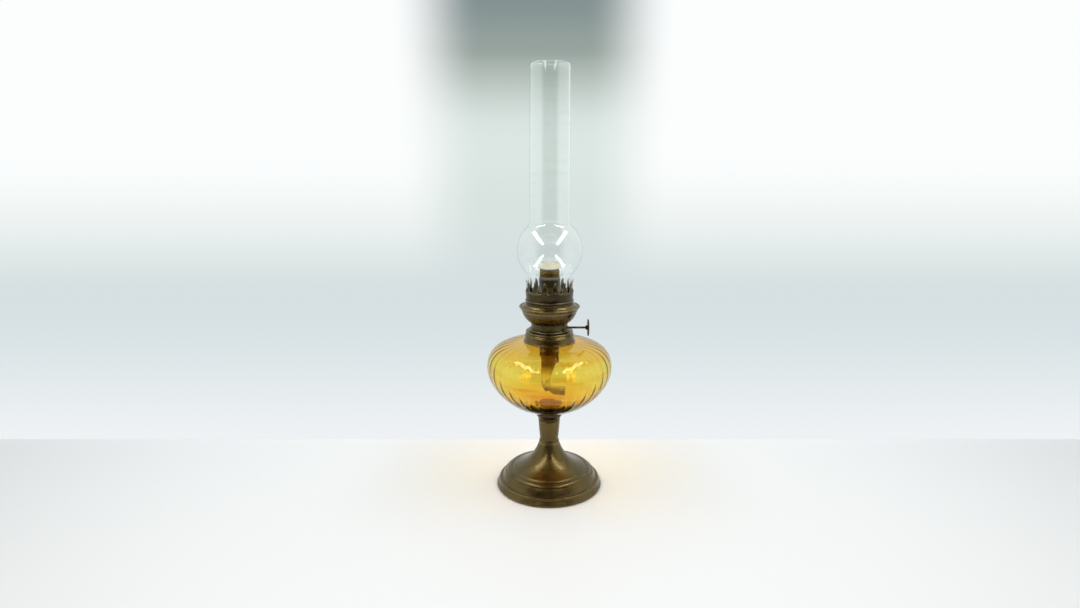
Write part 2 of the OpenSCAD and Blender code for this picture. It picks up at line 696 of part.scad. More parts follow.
// Chimney: straight foot, ball and tapering tube, joined by concave rounds
module chimney() {
    color([0.85, 0.92, 0.92, 0.4])
    turned(concat(chimney_skin(0), flip(chimney_skin(chimney_wall))));
}
round_r = 8;
tube_low_r = tube_top_r + 0.8;
function join_angle(r, inset) = acos((r - inset + round_r + inset) / (ball_r + round_r));
function chimney_skin(inset) =
    let (ball = [0, chimney_z + ball_z], f = round_r + inset, big = ball_r - inset,
         low = join_angle(chimney_foot_r, inset), up = join_angle(tube_low_r, inset),
         low_c = [chimney_foot_r + round_r, ball[1] - (ball_r + round_r) * sin(low)],
         up_c = [tube_low_r + round_r, ball[1] + (ball_r + round_r) * sin(up)])
    concat([[chimney_foot_r - inset, chimney_z]],
           arc(low_c, f, 180, 180 - low, 5),
           arc(ball, big, -low + 3, up - 3, 16),
           arc(up_c, f, 180 + up, 180, 5),
           [[tube_top_r - inset, chimney_z + chimney_h]]);

foot_shell();
foot_ballast();
tie_rod();
tie_rod_washer();
tie_rod_nut();
stem_sleeve();
font_cup();
font_cement();
font();
collar();
collar_cement();
burner_ring();
burner_floor();
burner_basket();
gallery_ring();
air_plate();
crown();
centring_sleeve();
wick_tube();
draught_tube();
draught_port();
spindle_bracket();
spindle_bush();
spindle();
wick_gears();
wick_knob();
wick();
chimney();
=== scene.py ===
import math
import random

import bmesh
import bpy
from mathutils import Matrix, Vector


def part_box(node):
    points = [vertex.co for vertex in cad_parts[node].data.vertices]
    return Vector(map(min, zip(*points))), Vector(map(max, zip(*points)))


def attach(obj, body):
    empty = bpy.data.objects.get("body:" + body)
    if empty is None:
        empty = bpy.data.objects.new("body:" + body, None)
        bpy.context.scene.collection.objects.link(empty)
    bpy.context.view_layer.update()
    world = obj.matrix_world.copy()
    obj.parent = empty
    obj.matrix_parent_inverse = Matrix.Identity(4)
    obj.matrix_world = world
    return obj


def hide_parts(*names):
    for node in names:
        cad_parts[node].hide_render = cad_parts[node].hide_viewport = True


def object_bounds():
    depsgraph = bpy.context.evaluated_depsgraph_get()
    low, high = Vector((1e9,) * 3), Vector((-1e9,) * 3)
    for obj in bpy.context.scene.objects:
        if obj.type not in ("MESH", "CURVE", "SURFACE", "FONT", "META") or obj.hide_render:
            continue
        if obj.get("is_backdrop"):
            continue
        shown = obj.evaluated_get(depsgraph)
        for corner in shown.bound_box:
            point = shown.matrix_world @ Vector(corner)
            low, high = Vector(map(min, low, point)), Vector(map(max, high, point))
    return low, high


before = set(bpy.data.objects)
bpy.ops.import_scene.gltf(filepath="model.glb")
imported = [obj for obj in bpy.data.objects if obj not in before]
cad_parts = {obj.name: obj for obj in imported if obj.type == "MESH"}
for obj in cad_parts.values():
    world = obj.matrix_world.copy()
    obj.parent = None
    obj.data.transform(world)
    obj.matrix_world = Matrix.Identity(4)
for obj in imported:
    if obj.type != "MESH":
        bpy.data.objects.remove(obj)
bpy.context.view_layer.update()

# The lamp is seen from its front, a little from the left and from just above the burner,
# with the view tilted down so that the whole chimney and the foot are in the frame.
eye = bpy.data.cameras.new("front_view")
eye.sensor_width = 36
eye.lens = 22.15
eye_tilt = math.radians(12.24)
camera = bpy.data.objects.new("front_view", eye)
camera.location = (-0.0115, -0.785, 0.404)
camera.rotation_euler = (math.radians(90) - eye_tilt, 0, 0)
bpy.context.scene.collection.objects.link(camera)
bpy.context.scene.camera = camera
bpy.context.scene.view_settings.view_transform = "Standard"

# The studio is a round white table with a sheet of pale paper that stands close behind the
# lamp, curved at its foot. The paper glows with painted light: it darkens towards its top, and
# painted light pools bleach its upper corners and leave a painted shade between them. Table and
# paper show from their front only, so that they hide nothing from behind.
table_white = (0.93, 0.94, 0.94, 1)
table_r = 1.0
table_z = -0.0003
paper_x = -0.02
paper_y = 0.146
paper_bend = 0.012
paper_top = 1.5
paper_half_w = 1.7
paper_tone_h = 0.62
paper_painted_tones = ((0.0, (0.86, 0.89, 0.91, 1)), (0.2, (0.73, 0.79, 0.81, 1)),
               (0.34, (0.675, 0.74, 0.755, 1)), (0.55, (0.69, 0.77, 0.745, 1)),
               (0.74, (0.68, 0.76, 0.73, 1)), (0.86, (0.37, 0.43, 0.4, 1)),
               (0.92, (0.28, 0.34, 0.33, 1)), (1.0, (0.22, 0.28, 0.28, 1)))
paper_painted_light = (0.97, 0.99, 0.99, 1)


def add(tree, kind, sockets=None, **settings):
    """A shader node: sockets holds its inputs, by name or number, as values or as links."""
    made = tree.nodes.new("ShaderNode" + kind)
    for key, value in settings.items():
        setattr(made, key, value)
    for key, value in (sockets or {}).items():
        if isinstance(value, bpy.types.NodeSocket):
            tree.links.new(value, made.inputs[key])
        else:
            made.inputs[key].default_value = value
    return made


def steer(tree, value, low, high, to_low, to_high, bend="LINEAR"):
    """A value's share of low to high, as a number from to_low to to_high."""
    sockets = {"Value": value, "From Min": low, "From Max": high, "To Min": to_low, "To Max": to_high}
    return add(tree, "MapRange", sockets, interpolation_type=bend).outputs["Result"]


def tint(tree, share, low, high, how="MIX"):
    """A mix of two colours."""
    made = add(tree, "Mix", data_type="RGBA", blend_type=how)
    for index, value in ((0, share), (6, low), (7, high)):
        if isinstance(value, bpy.types.NodeSocket):
            tree.links.new(value, made.inputs[index])
        else:
            made.inputs[index].default_value = value
    return made.outputs[2]


def new_finish(name):
    """An empty material and its node tree."""
    finish = bpy.data.materials.new(name)
    finish.use_nodes = True
    finish.node_tree.nodes.clear()
    return finish, finish.node_tree


def one_sided(tree, surface):
    """Shows the surface from its front and nothing from behind."""
    unseen = add(tree, "BsdfTransparent")
    behind = add(tree, "NewGeometry").outputs["Backfacing"]
    mixed = add(tree, "MixShader", {0: behind, 1: surface.outputs[0], 2: unseen.outputs[0]})
    add(tree, "OutputMaterial", {"Surface": mixed.outputs[0]})


def stage_sheet(name, corners, faces, finish):
    """A part of the studio, with its front to the lamp."""
    mesh = bpy.data.meshes.new(name)
    mesh.from_pydata(corners, [], faces)
    mesh.polygons.foreach_set("use_smooth", [True] * len(faces))
    mesh.materials.append(finish)
    made = bpy.data.objects.new(name, mesh)
    bpy.context.scene.collection.objects.link(made)
    made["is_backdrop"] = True
    return made


table_finish, tree = new_finish("white_table")
one_sided(tree, add(tree, "BsdfPrincipled", {"Base Color": table_white, "Roughness": 0.55}))
table_edge = [(table_r * math.cos(math.radians(3 * i)), table_r * math.sin(math.radians(3 * i)), table_z)
              for i in range(120)]
stage_sheet("table", table_edge, [tuple(range(120))], table_finish)

paper_finish, tree = new_finish("backdrop_paper_painted_light")
place = add(tree, "SeparateXYZ", {0: add(tree, "TexCoord").outputs["Object"]})
tones = add(tree, "ValToRGB", {0: steer(tree, place.outputs["Z"], 0, paper_tone_h, 0, 1)})
ramp = tones.color_ramp
ramp.interpolation = "CARDINAL"
for spot, tone in paper_painted_tones[1:-1]:
    ramp.elements.new(spot).color = tone
ramp.elements[0].color = paper_painted_tones[0][1]
ramp.elements[len(paper_painted_tones) - 1].color = paper_painted_tones[-1][1]
# Painted light pools: the upper sides of the paper are painted paler than its middle.
aside = add(tree, "Math", {0: place.outputs["X"]}, operation="ABSOLUTE").outputs[0]
wide = steer(tree, aside, 0.07, 0.19, 0, 1, "SMOOTHSTEP")
high = steer(tree, place.outputs["Z"], 0.2, 0.42, 0, 1, "SMOOTHSTEP")
painted_light_share = add(tree, "Math", {0: wide, 1: high}, operation="MULTIPLY").outputs[0]
colour = tint(tree, painted_light_share, tones.outputs[0], paper_painted_light)
one_sided(tree, add(tree, "Emission", {"Color": colour, "Strength": 1.0}))
paper_rows = [(paper_y - paper_bend * (1 - math.sin(a)), paper_bend * (1 - math.cos(a)) - 0.0002)
              for a in (math.radians(15 * i) for i in range(7))]
paper_rows.append((paper_y, paper_top))
paper_corners = [(side * paper_half_w, y, z) for y, z in paper_rows for side in (-1, 1)]
paper_strips = [(i, i + 1, i + 3, i + 2) for i in range(0, 2 * len(paper_rows) - 2, 2)]
paper = stage_sheet("backdrop", paper_corners, paper_strips, paper_finish)
paper.location.x = paper_x
paper.visible_shadow = False

# Light comes from two long softboxes under the roof of the studio, left and right of the lamp,
# and from its bright side walls. Roof and front are dark, and show as dark bands in the brass.
strip_w = 0.15
strip_l = 1.1
strip_power = 4.0
strip_place = Vector((0.5, -0.3, 0.86))
strip_aim = Vector((0, 0, 0.28))
room_dark = (0.04, 0.03, 0.014, 1)
wall_bright = (0.98, 1.0, 1.02, 1)
wall_pale = (0.67, 0.7, 0.71, 1)
for side in (-1, 1):
    strip = bpy.data.lights.new("strip", "AREA")
    strip.shape = "RECTANGLE"
    strip.size = strip_w
    strip.size_y = strip_l
    strip.energy = strip_power
    hung = bpy.data.objects.new("strip", strip)
    place = Vector((side * strip_place.x, strip_place.y, strip_place.z))
    back = (place - strip_aim).normalized()
    across = Vector((0, 1, 0)).cross(back).normalized()
    turn = Matrix((across, back.cross(across), back)).transposed().to_4x4()
    hung.matrix_world = Matrix.Translation(place) @ turn
    hung.visible_camera = False
    bpy.context.scene.collection.objects.link(hung)

studio = bpy.data.worlds.new("studio_walls")
studio.use_nodes = True
bpy.context.scene.world = studio
tree = studio.node_tree
toward = add(tree, "SeparateXYZ", {0: add(tree, "TexCoord").outputs["Generated"]})
aside = add(tree, "Math", {0: toward.outputs["X"]}, operation="ABSOLUTE").outputs[0]
room = tint(tree, steer(tree, aside, 0.5, 0.93, 0, 1, "SMOOTHSTEP"), room_dark, wall_bright)
path = add(tree, "LightPath")
direct = add(tree, "Math", {0: path.outputs["Glossy Depth"], 1: 0.5}, operation="LESS_THAN")
through = add(tree, "Math", {0: path.outputs["Is Transmission Ray"], 1: direct.outputs[0]},
              operation="MULTIPLY")
seen = add(tree, "Math", {0: path.outputs["Is Camera Ray"], 1: through.outputs[0]}, operation="ADD")
walls = tree.nodes["Background"]
tree.links.new(tint(tree, seen.outputs[0], room, wall_pale), walls.inputs["Color"])

# Foot: a bell of sheet brass spun over a form, with a rolled hem, a flat rim band, a round
# step, a small ring and a hollow cone that sweeps up to the stem. Its brown patina is worn to
# brass on the edges. Outlines are in millimetres, as (radius, height).
mm = 0.001
foot_sheet = 0.72
foot_hem = 3.6
foot_step_r = 59.4
foot_groove = (55.4, 18.5)
foot_ring = (54.0, 18.9)
foot_cone = (44.4, 23.9)
foot_sweep = (19.5, 32.5)
foot_neck_r = 12.6


def drawn(node):
    """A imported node's outer radius, lowest and highest level, in millimetres."""
    low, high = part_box(node)
    return max(high.x, high.y) / mm, low.z / mm, high.z / mm


def bend(p, q, s, steps):
    """Points of one even curve from p to s, pulled towards q."""
    spots = [i / steps for i in range(steps + 1)]
    return [tuple((1 - t) ** 2 * a + 2 * t * (1 - t) * b + t * t * c for a, b, c in zip(p, q, s))
            for t in spots]


def arc(centre, r, start, end, steps):
    """Points of a circle's arc, with its angles in degrees."""
    turns = [math.radians(start + (end - start) * i / steps) for i in range(steps + 1)]
    return [(centre[0] + r * math.cos(a), centre[1] + r * math.sin(a)) for a in turns]


def eased(points, cut=0.4, steps=3, loop=False):
    """The outline with each corner rounded off over cut millimetres."""
    made = []
    count = len(points)
    for i, p in enumerate(points):
        if not loop and i in (0, count - 1):
            made.append(p)
            continue
        here = Vector(p[:2])
        before = Vector(points[i - 1][:2]) - here
        after = Vector(points[(i + 1) % count][:2]) - here
        start = here + before * min(cut / max(before.length, 1e-6), 0.4)
        end = here + after * min(cut / max(after.length, 1e-6), 0.4)
        made += [tuple(spot) + tuple(p[2:]) for spot in bend(start, here, end, steps)]
    return made


def polar(r, angle, z):
    """A point in metres from a radius and a height in millimetres."""
    return (r * math.cos(angle) * mm, r * math.sin(angle) * mm, z * mm)


def made_solid(name, form, crease=38):
    """The finished form as an object with smooth faces and sharp creases."""
    mesh = bpy.data.meshes.new(name)
    form.to_mesh(mesh)
    form.free()
    mesh.polygons.foreach_set("use_smooth", [True] * len(mesh.polygons))
    mesh.set_sharp_from_angle(angle=math.radians(crease))
    piece = bpy.data.objects.new(name, mesh)
    bpy.context.scene.collection.objects.link(piece)
    return piece


def lathe(name, outline, turns=144, loop=False, notch=None):
    """A turned piece. The outline runs up the outside and down the inside, and loop closes it.
    A third number of a point is how deep notch(angle) cuts there, in millimetres."""
    form = bmesh.new()
    rows = []
    for r, z, *depth in outline:
        if r < 1e-4:
            rows.append([form.verts.new((0, 0, z * mm))] * turns)
            continue
        angles = [2 * math.pi * k / turns for k in range(turns)]
        cuts = [depth[0] * notch(a) if depth and notch else 0 for a in angles]
        rows.append([form.verts.new(polar(r - cut, a, z)) for a, cut in zip(angles, cuts)])
    if loop:
        rows.append(rows[0])
    for low, high in zip(rows, rows[1:]):
        for k in range(turns):
            n = (k + 1) % turns
            corners = list(dict.fromkeys((low[k], low[n], high[n], high[k])))
            if len(corners) > 2:
                form.faces.new(corners)
    return made_solid(name, form)


def aged_brass(name, patina, metal, worn, gloss=(0.26, 0.44), spun=0.00005, wear=1.0):
    """Brass under old patina: cloudy blotches, specks, rubbed edges, dirt in the corners and
    the fine rings that the spinning tool leaves."""
    finish, tree = new_finish(name)
    place = add(tree, "TexCoord").outputs["Object"]
    cloud = add(tree, "TexNoise", {"Vector": place, "Scale": 62, "Detail": 7, "Roughness": 0.62})
    speck = add(tree, "TexNoise", {"Vector": place, "Scale": 1100, "Detail": 3})
    colour = tint(tree, steer(tree, cloud.outputs["Fac"], 0.3, 0.72, 0, 1), patina, metal)
    spots = steer(tree, speck.outputs["Fac"], 0.6, 0.72, 0, 0.55)
    colour = tint(tree, spots, colour, [0.35 * c for c in patina[:3]] + [1])
    edge = add(tree, "NewGeometry").outputs["Pointiness"]
    rubbed = add(tree, "Math", {0: steer(tree, edge, 0.505, 0.56, 0, wear),
                                1: steer(tree, cloud.outputs["Fac"], 0.3, 0.6, 0.35, 1)},
                 operation="MULTIPLY")
    colour = tint(tree, rubbed.outputs[0], colour, worn)
    dirt = steer(tree, edge, 0.44, 0.497, 0.75, 0)
    colour = tint(tree, dirt, colour, [0.3 * c for c in patina[:3]] + [1])
    flat = add(tree, "VectorMath", {0: place, 1: (1, 1, 0)}, operation="MULTIPLY")
    round_r = add(tree, "VectorMath", {0: flat.outputs[0]}, operation="LENGTH").outputs["Value"]
    height = add(tree, "SeparateXYZ", {0: place}).outputs["Z"]
    along = add(tree, "CombineXYZ", {0: round_r, 1: height}).outputs[0]
    rings = add(tree, "TexNoise", {"Vector": along, "Scale": 1500, "Detail": 2})
    rough = add(tree, "Math", {0: steer(tree, cloud.outputs["Fac"], 0.3, 0.7, *gloss),
                               1: steer(tree, speck.outputs["Fac"], 0.4, 0.75, 0, 0.14)},
                operation="ADD")
    lines = add(tree, "Bump", {"Height": rings.outputs["Fac"], "Strength": 0.6, "Distance": spun})
    pits = add(tree, "Bump", {"Height": speck.outputs["Fac"], "Strength": 0.35, "Distance": 0.00006,
                              "Normal": lines.outputs["Normal"]})
    shader = add(tree, "BsdfPrincipled", {"Base Color": colour, "Metallic": 1.0,
                                          "Roughness": rough.outputs[0],
                                          "Coat Weight": 0.25, "Coat Roughness": 0.2,
                                          "Normal": pits.outputs["Normal"]})
    add(tree, "OutputMaterial", {"Surface": shader.outputs[0]})
    return finish


def fit(piece, body, slot, finish, *nodes):
    """Gives a piece its finish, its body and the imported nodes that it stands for."""
    piece.data.materials.append(finish)
    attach(piece, body)
    if nodes:
        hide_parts(*nodes)
    return piece


foot_rim_r, foot_low, foot_top = drawn("foot_shell")
foot_brass = aged_brass("foot_brass", (0.094, 0.064, 0.017, 1), (0.142, 0.102, 0.032, 1),
                        (0.34, 0.27, 0.14, 1), gloss=(0.22, 0.38), wear=0.7)
rim_band = [(foot_rim_r - 1.2, foot_low), (foot_rim_r, foot_low + 1.2),
            (foot_rim_r - 0.2, foot_low + 2.6), (foot_rim_r - 2.8, foot_low + 6.4),
            (foot_rim_r - 3.4, foot_low + 10), (foot_step_r + 0.9, foot_low + 10.2)]
step = bend((foot_step_r, 10.4), (foot_step_r - 1.4, 14.4), foot_groove, 16)
small_ring = bend(foot_ring, (foot_ring[0] - 1.4, foot_cone[1] - 1.2),
                  (foot_cone[0] + 2.6, foot_cone[1] - 0.9), 14)
fine_grooves = [(foot_cone[0] + 2.1, 22.6), (foot_cone[0] + 1.6, 23.3),
                (foot_cone[0] + 1.1, 23.1), (foot_cone[0] + 0.6, 23.7)]
cone = bend(foot_cone, foot_sweep, (foot_neck_r, foot_top), 40)
foot_skin = eased(rim_band + step, 0.5) + eased(small_ring + fine_grooves, 0.25) + cone
foot_lining = [(r - foot_sheet, z - foot_sheet) for r, z in foot_skin if z > 4]
foot_hem_edge = [(foot_rim_r - foot_hem, foot_low + 1.8), (foot_rim_r - foot_hem, foot_low)]
foot = lathe("foot_spun_bell", foot_skin + foot_lining[::-1] + foot_hem_edge, 192, loop=True)
fit(foot, "base", "foot_brass", foot_brass, "foot_shell")

# Weight and tie rod: a rough iron casting fills the bell, and a threaded steel rod with a
# washer and a nut clamps foot, stem and cup together from below. Only the underside shows.


def cast_iron(name):
    """Rough black casting with rust in its pores."""
    finish, tree = new_finish(name)
    place = add(tree, "TexCoord").outputs["Object"]
    grain = add(tree, "TexNoise", {"Vector": place, "Scale": 420, "Detail": 8, "Roughness": 0.7})
    rust = add(tree, "TexNoise", {"Vector": place, "Scale": 55, "Detail": 5})
    colour = tint(tree, steer(tree, rust.outputs["Fac"], 0.52, 0.68, 0, 0.8),
                  (0.085, 0.083, 0.08, 1), (0.22, 0.1, 0.045, 1))
    relief = add(tree, "Bump", {"Height": grain.outputs["Fac"], "Strength": 0.8, "Distance": 0.0006})
    shader = add(tree, "BsdfPrincipled", {"Base Color": colour, "Metallic": 0.6,
                                          "Roughness": steer(tree, grain.outputs["Fac"], 0.3, 0.7, 0.55, 0.85),
                                          "Normal": relief.outputs["Normal"]})
    add(tree, "OutputMaterial", {"Surface": shader.outputs[0]})
    return finish


def mild_steel(name):
    """Plain steel with drawing lines and a film of rust."""
    finish, tree = new_finish(name)
    place = add(tree, "TexCoord").outputs["Object"]
    film = add(tree, "TexNoise", {"Vector": place, "Scale": 260, "Detail": 6})
    stretch = add(tree, "VectorMath", {0: place, 1: (900, 900, 40)}, operation="MULTIPLY")
    drawn_lines = add(tree, "TexNoise", {"Vector": stretch.outputs[0], "Scale": 1, "Detail": 3})
    colour = tint(tree, steer(tree, film.outputs["Fac"], 0.5, 0.72, 0, 0.7),
                  (0.42, 0.41, 0.39, 1), (0.2, 0.1, 0.05, 1))
    relief = add(tree, "Bump", {"Height": drawn_lines.outputs["Fac"], "Strength": 0.4, "Distance": 0.00008})
    shader = add(tree, "BsdfPrincipled", {"Base Color": colour, "Metallic": 1.0,
                                          "Roughness": steer(tree, film.outputs["Fac"], 0.35, 0.7, 0.3, 0.6),
                                          "Normal": relief.outputs["Normal"]})
    add(tree, "OutputMaterial", {"Surface": shader.outputs[0]})
    return finish


def dress(finish, *nodes):
    """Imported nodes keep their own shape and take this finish."""
    for node in nodes:
        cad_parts[node].data.materials.clear()
        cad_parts[node].data.materials.append(finish)


dress(cast_iron("cast_iron"), "foot_ballast")
dress(mild_steel("mild_steel"), "tie_rod", "tie_rod_washer", "tie_rod_nut")

# Stem: a thin sleeve of drawn brass, a little waisted at its foot and wider under the cup.
# It only stands between foot and cup, and leaves a dark joint line at each end.
stem_waist_r = 11.5
stem_sheet = 0.9
stem_lip_r, stem_low, stem_top = drawn("stem_sleeve")
stem_skin = eased([(foot_neck_r - 0.5, stem_low), (foot_neck_r, stem_low + 0.5),
                   (foot_neck_r, stem_low + 1.6), (stem_waist_r + 0.2, stem_low + 3.4)]
                  + bend((stem_waist_r, stem_low + 5.4), (stem_lip_r - 0.8, stem_low + 15),
                         (stem_lip_r, stem_top - 1.2), 24)
                  + [(stem_lip_r - 0.1, stem_top - 0.4), (stem_lip_r - 0.6, stem_top)], 0.35)
stem_lining = [(r - stem_sheet, z) for r, z in stem_skin]
stem = lathe("stem_drawn_sleeve", stem_skin + stem_lining[::-1], 96, loop=True)
fit(stem, "base", "foot_brass", foot_brass, "stem_sleeve")

# Font: a squat bowl of honey glass, blown into a ribbed mould, so that shallow upright ribs
# run from the neck over the shoulder to the base. It is thin at the wall and heavy below.
font_wall = 3.2
font_base = 6.0
font_neck_r = 27.0
font_neck_h = 7.5
font_ribs = 36
rib_cut = 0.12
rib_inside = 0.35
font_r, font_low, font_top = drawn("font")
collar_z = drawn("collar")[1]
font_mid = font_low + 58.5


def belly(wide, deep, steps=36):
    """The lower half of the glass form, from its middle outwards and up."""
    spots = [wide * math.sin(math.radians(90 * i / steps)) for i in range(steps + 1)]
    return [(r, font_mid - deep * max(0, 1 - (r / wide) ** 1.96) ** (1 / 1.78)) for r in spots]


def shoulder(wide, tall, neck, steps=32):
    """The upper half of the glass form, from its widest level to the neck."""
    last = math.degrees(math.asin(neck / wide)) - 90
    spots = [wide * math.sin(math.radians(90 + last * i / steps)) for i in range(1, steps + 1)]
    return [(r, font_mid + tall * max(0, 1 - (r / wide) ** 4.48) ** (1 / 2.32)) for r in spots]


def rib_depth(r, plain_r, full_r, cut):
    """Ribs fade in between two radii."""
    share = min(max((r - plain_r) / (full_r - plain_r), 0), 1)
    return cut * share * share * (3 - 2 * share)


def rib_valley(angle):
    """Soft ribs with a rounded valley between each two, so placed that the valleys at the back
    show between the front ones."""
    return (0.5 - 0.5 * math.sin(font_ribs * angle)) ** 2


def glass(name, tone, deep, shine, dye, density, wave, painted_shade_spans):
    """Blown glass: its own tint through its thickness, painted deeper over given spans of height as
    painted shade where the glass looks darker, streaks that the turning drew out, and a faint wave in
    its surface. Rays from the lamps pass straight through, so that it throws no black shadow."""
    finish, tree = new_finish(name)
    place = add(tree, "TexCoord").outputs["Object"]
    height = add(tree, "SeparateXYZ", {0: place}).outputs["Z"]
    colour = tone
    for span in painted_shade_spans:
        colour = tint(tree, steer(tree, height, *span, "SMOOTHSTEP"), colour, deep, "MULTIPLY")
    pulled = add(tree, "VectorMath", {0: place, 1: (17, 17, 130)}, operation="MULTIPLY")
    streak = add(tree, "TexNoise", {"Vector": pulled.outputs[0], "Scale": 1, "Detail": 2})
    colour = tint(tree, steer(tree, streak.outputs["Fac"], 0.54, 0.68, 0, 0.8), colour, deep, "MULTIPLY")
    swell = add(tree, "TexNoise", {"Vector": place, "Scale": 38, "Detail": 2})
    relief = add(tree, "Bump", {"Height": swell.outputs["Fac"], "Strength": 0.5, "Distance": wave})
    shader = add(tree, "BsdfPrincipled", {"Base Color": colour, "Roughness": 0.0, "IOR": 1.5,
                                          "Transmission Weight": 1.0, "Specular Tint": shine,
                                          "Normal": relief.outputs["Normal"]})
    clear = add(tree, "BsdfTransparent", {"Color": tone})
    lamp_ray = add(tree, "LightPath").outputs["Is Shadow Ray"]
    surface = add(tree, "MixShader", {0: lamp_ray, 1: shader.outputs[0], 2: clear.outputs[0]})
    body = add(tree, "VolumeAbsorption", {"Color": dye, "Density": density})
    add(tree, "OutputMaterial", {"Surface": surface.outputs[0], "Volume": body.outputs[0]})
    return finish


outer_glass = [(r, z, rib_depth(r, 22, 45, rib_cut)) for r, z in belly(font_r, font_mid - font_low)]
outer_glass += [(r, z, rib_depth(r, 29, 46, rib_cut))
                for r, z in shoulder(font_r, collar_z - font_mid, font_neck_r)]
neck_in_r = font_neck_r - font_wall
neck = [(font_neck_r, font_top - 0.6), (font_neck_r - 0.6, font_top),
        (neck_in_r + 0.6, font_top), (neck_in_r, font_top - 0.6)]
inner_glass = [(r, z, rib_depth(r, 30, font_r - font_wall, rib_inside))
               for r, z in belly(font_r - font_wall, font_mid - font_low - font_base)]
inner_glass += [(r, z, rib_depth(r, 29, 46, rib_inside))
                for r, z in shoulder(font_r - font_wall, collar_z - font_mid - font_wall, neck_in_r)]
font = lathe("font_ribbed_glass", outer_glass + neck + inner_glass[::-1], 384, notch=rib_valley)
# Painted shade: the amber tint is painted deeper near the foot, over the lower bowl and towards the shoulders.
painted_shade_foot = (font_low * mm + 0.001, font_low * mm + 0.011, 1, 0)
painted_shade_low = (font_low * mm + 0.008, font_low * mm + 0.036, 1, 0)
painted_shade_high = (font_mid * mm + 0.01, collar_z * mm, 0, 1)
amber_glass = glass("amber_glass", (1, 0.99, 0.96, 1), (0.94, 0.7, 0.3, 1), (1, 0.86, 0.5, 1),
                    (0.985, 0.88, 0.0, 1), 290, 0.00004, (painted_shade_foot, painted_shade_low, painted_shade_high))
fit(font, "base", "amber_glass", amber_glass, "font")

# Cup: a small turned saucer of brass under the glass, its brass painted dark as painted shade
# under the glass. The glass sits in a bed of plaster that lamp oil has stained brown.
cup_r, cup_low, _ = drawn("font_cup")
cement_t = 1.0
glass_low = [(r, z - cement_t) for r, z in belly(font_r, font_mid - font_low, 90) if r < cup_r - 0.3]
cup_skin = eased([(0, cup_low), (stem_lip_r - 0.5, cup_low)]
                 + bend((stem_lip_r + 0.1, cup_low + 0.8), (stem_lip_r + 0.2, cup_low + 4.5),
                        (cup_r, font_low - 3), 14)
                 + [(cup_r, font_low + 0.6), (cup_r - 0.2, font_low + 1)], 0.3)
cup = lathe("cup_turned_saucer", cup_skin + glass_low[::-1], 96)
# Much darker than the foot's brass: painted shade under the glass.
cup_brass_painted_shade = aged_brass("cup_brass_painted_shade", (0.034, 0.024, 0.009, 1), (0.075, 0.054, 0.02, 1),
                       (0.24, 0.18, 0.09, 1), gloss=(0.3, 0.48), wear=0.3)
fit(cup, "base", "foot_brass", cup_brass_painted_shade, "font_cup")


def plaster(name, clean, stained):
    """Lamp plaster, matt and grainy, with oil stains."""
    finish, tree = new_finish(name)
    place = add(tree, "TexCoord").outputs["Object"]
    stain = add(tree, "TexNoise", {"Vector": place, "Scale": 130, "Detail": 6})
    grain = add(tree, "TexNoise", {"Vector": place, "Scale": 1800, "Detail": 4})
    colour = tint(tree, steer(tree, stain.outputs["Fac"], 0.4, 0.62, 0, 1), clean, stained)
    relief = add(tree, "Bump", {"Height": grain.outputs["Fac"], "Strength": 0.7, "Distance": 0.0002})
    shader = add(tree, "BsdfPrincipled", {"Base Color": colour, "Roughness": 0.9,
                                          "Normal": relief.outputs["Normal"]})
    add(tree, "OutputMaterial", {"Surface": shader.outputs[0]})
    return finish


dress(plaster("stained_plaster", (0.34, 0.23, 0.04, 1), (0.19, 0.12, 0.015, 1)),
      "font_cement", "collar_cement")

# Collar: pressed brass cap with a rolled flange, cemented over the glass neck. Its flat top has
# a threaded mouth that the burner screws into.
mouth_r = 22.0
collar_sheet = 0.9
collar_thread_h = 8.0
collar_flange_r, _, collar_top = drawn("collar")
collar_foot_r = collar_flange_r - 1.4
collar_top_r = 29.0
burner_brass = aged_brass("burner_brass", (0.074, 0.05, 0.012, 1), (0.16, 0.115, 0.034, 1),
                          (0.44, 0.35, 0.18, 1), gloss=(0.19, 0.34))
collar_skin = eased(
    arc((collar_flange_r - 0.7, collar_z + 0.7), 0.7, -90, 80, 8)
    + [(collar_foot_r + 0.2, collar_z + 1.6), (collar_foot_r - 0.1, collar_z + 2.4),
       (collar_top_r + 0.5, collar_top - 3.2), (collar_top_r + 0.75, collar_top - 2.8),
       (collar_top_r + 0.7, collar_top - 2.2), (collar_top_r + 0.2, collar_top - 1.8),
       (collar_top_r, collar_top - 0.8), (collar_top_r - 0.7, collar_top),
       (mouth_r + 0.5, collar_top), (mouth_r, collar_top - 0.5)], 0.3)
collar_in = [(mouth_r, collar_top - collar_thread_h),
             (mouth_r + collar_sheet, collar_top - collar_thread_h),
             (mouth_r + collar_sheet, collar_top - collar_sheet),
             (collar_top_r - collar_sheet, collar_top - collar_sheet),
             (collar_foot_r - collar_sheet, collar_z + 1.5), (collar_foot_r - collar_sheet, collar_z)]
collar = lathe("collar_pressed_cap", collar_skin + collar_in, 144, loop=True)
fit(collar, "base", "burner_brass", burner_brass, "collar")

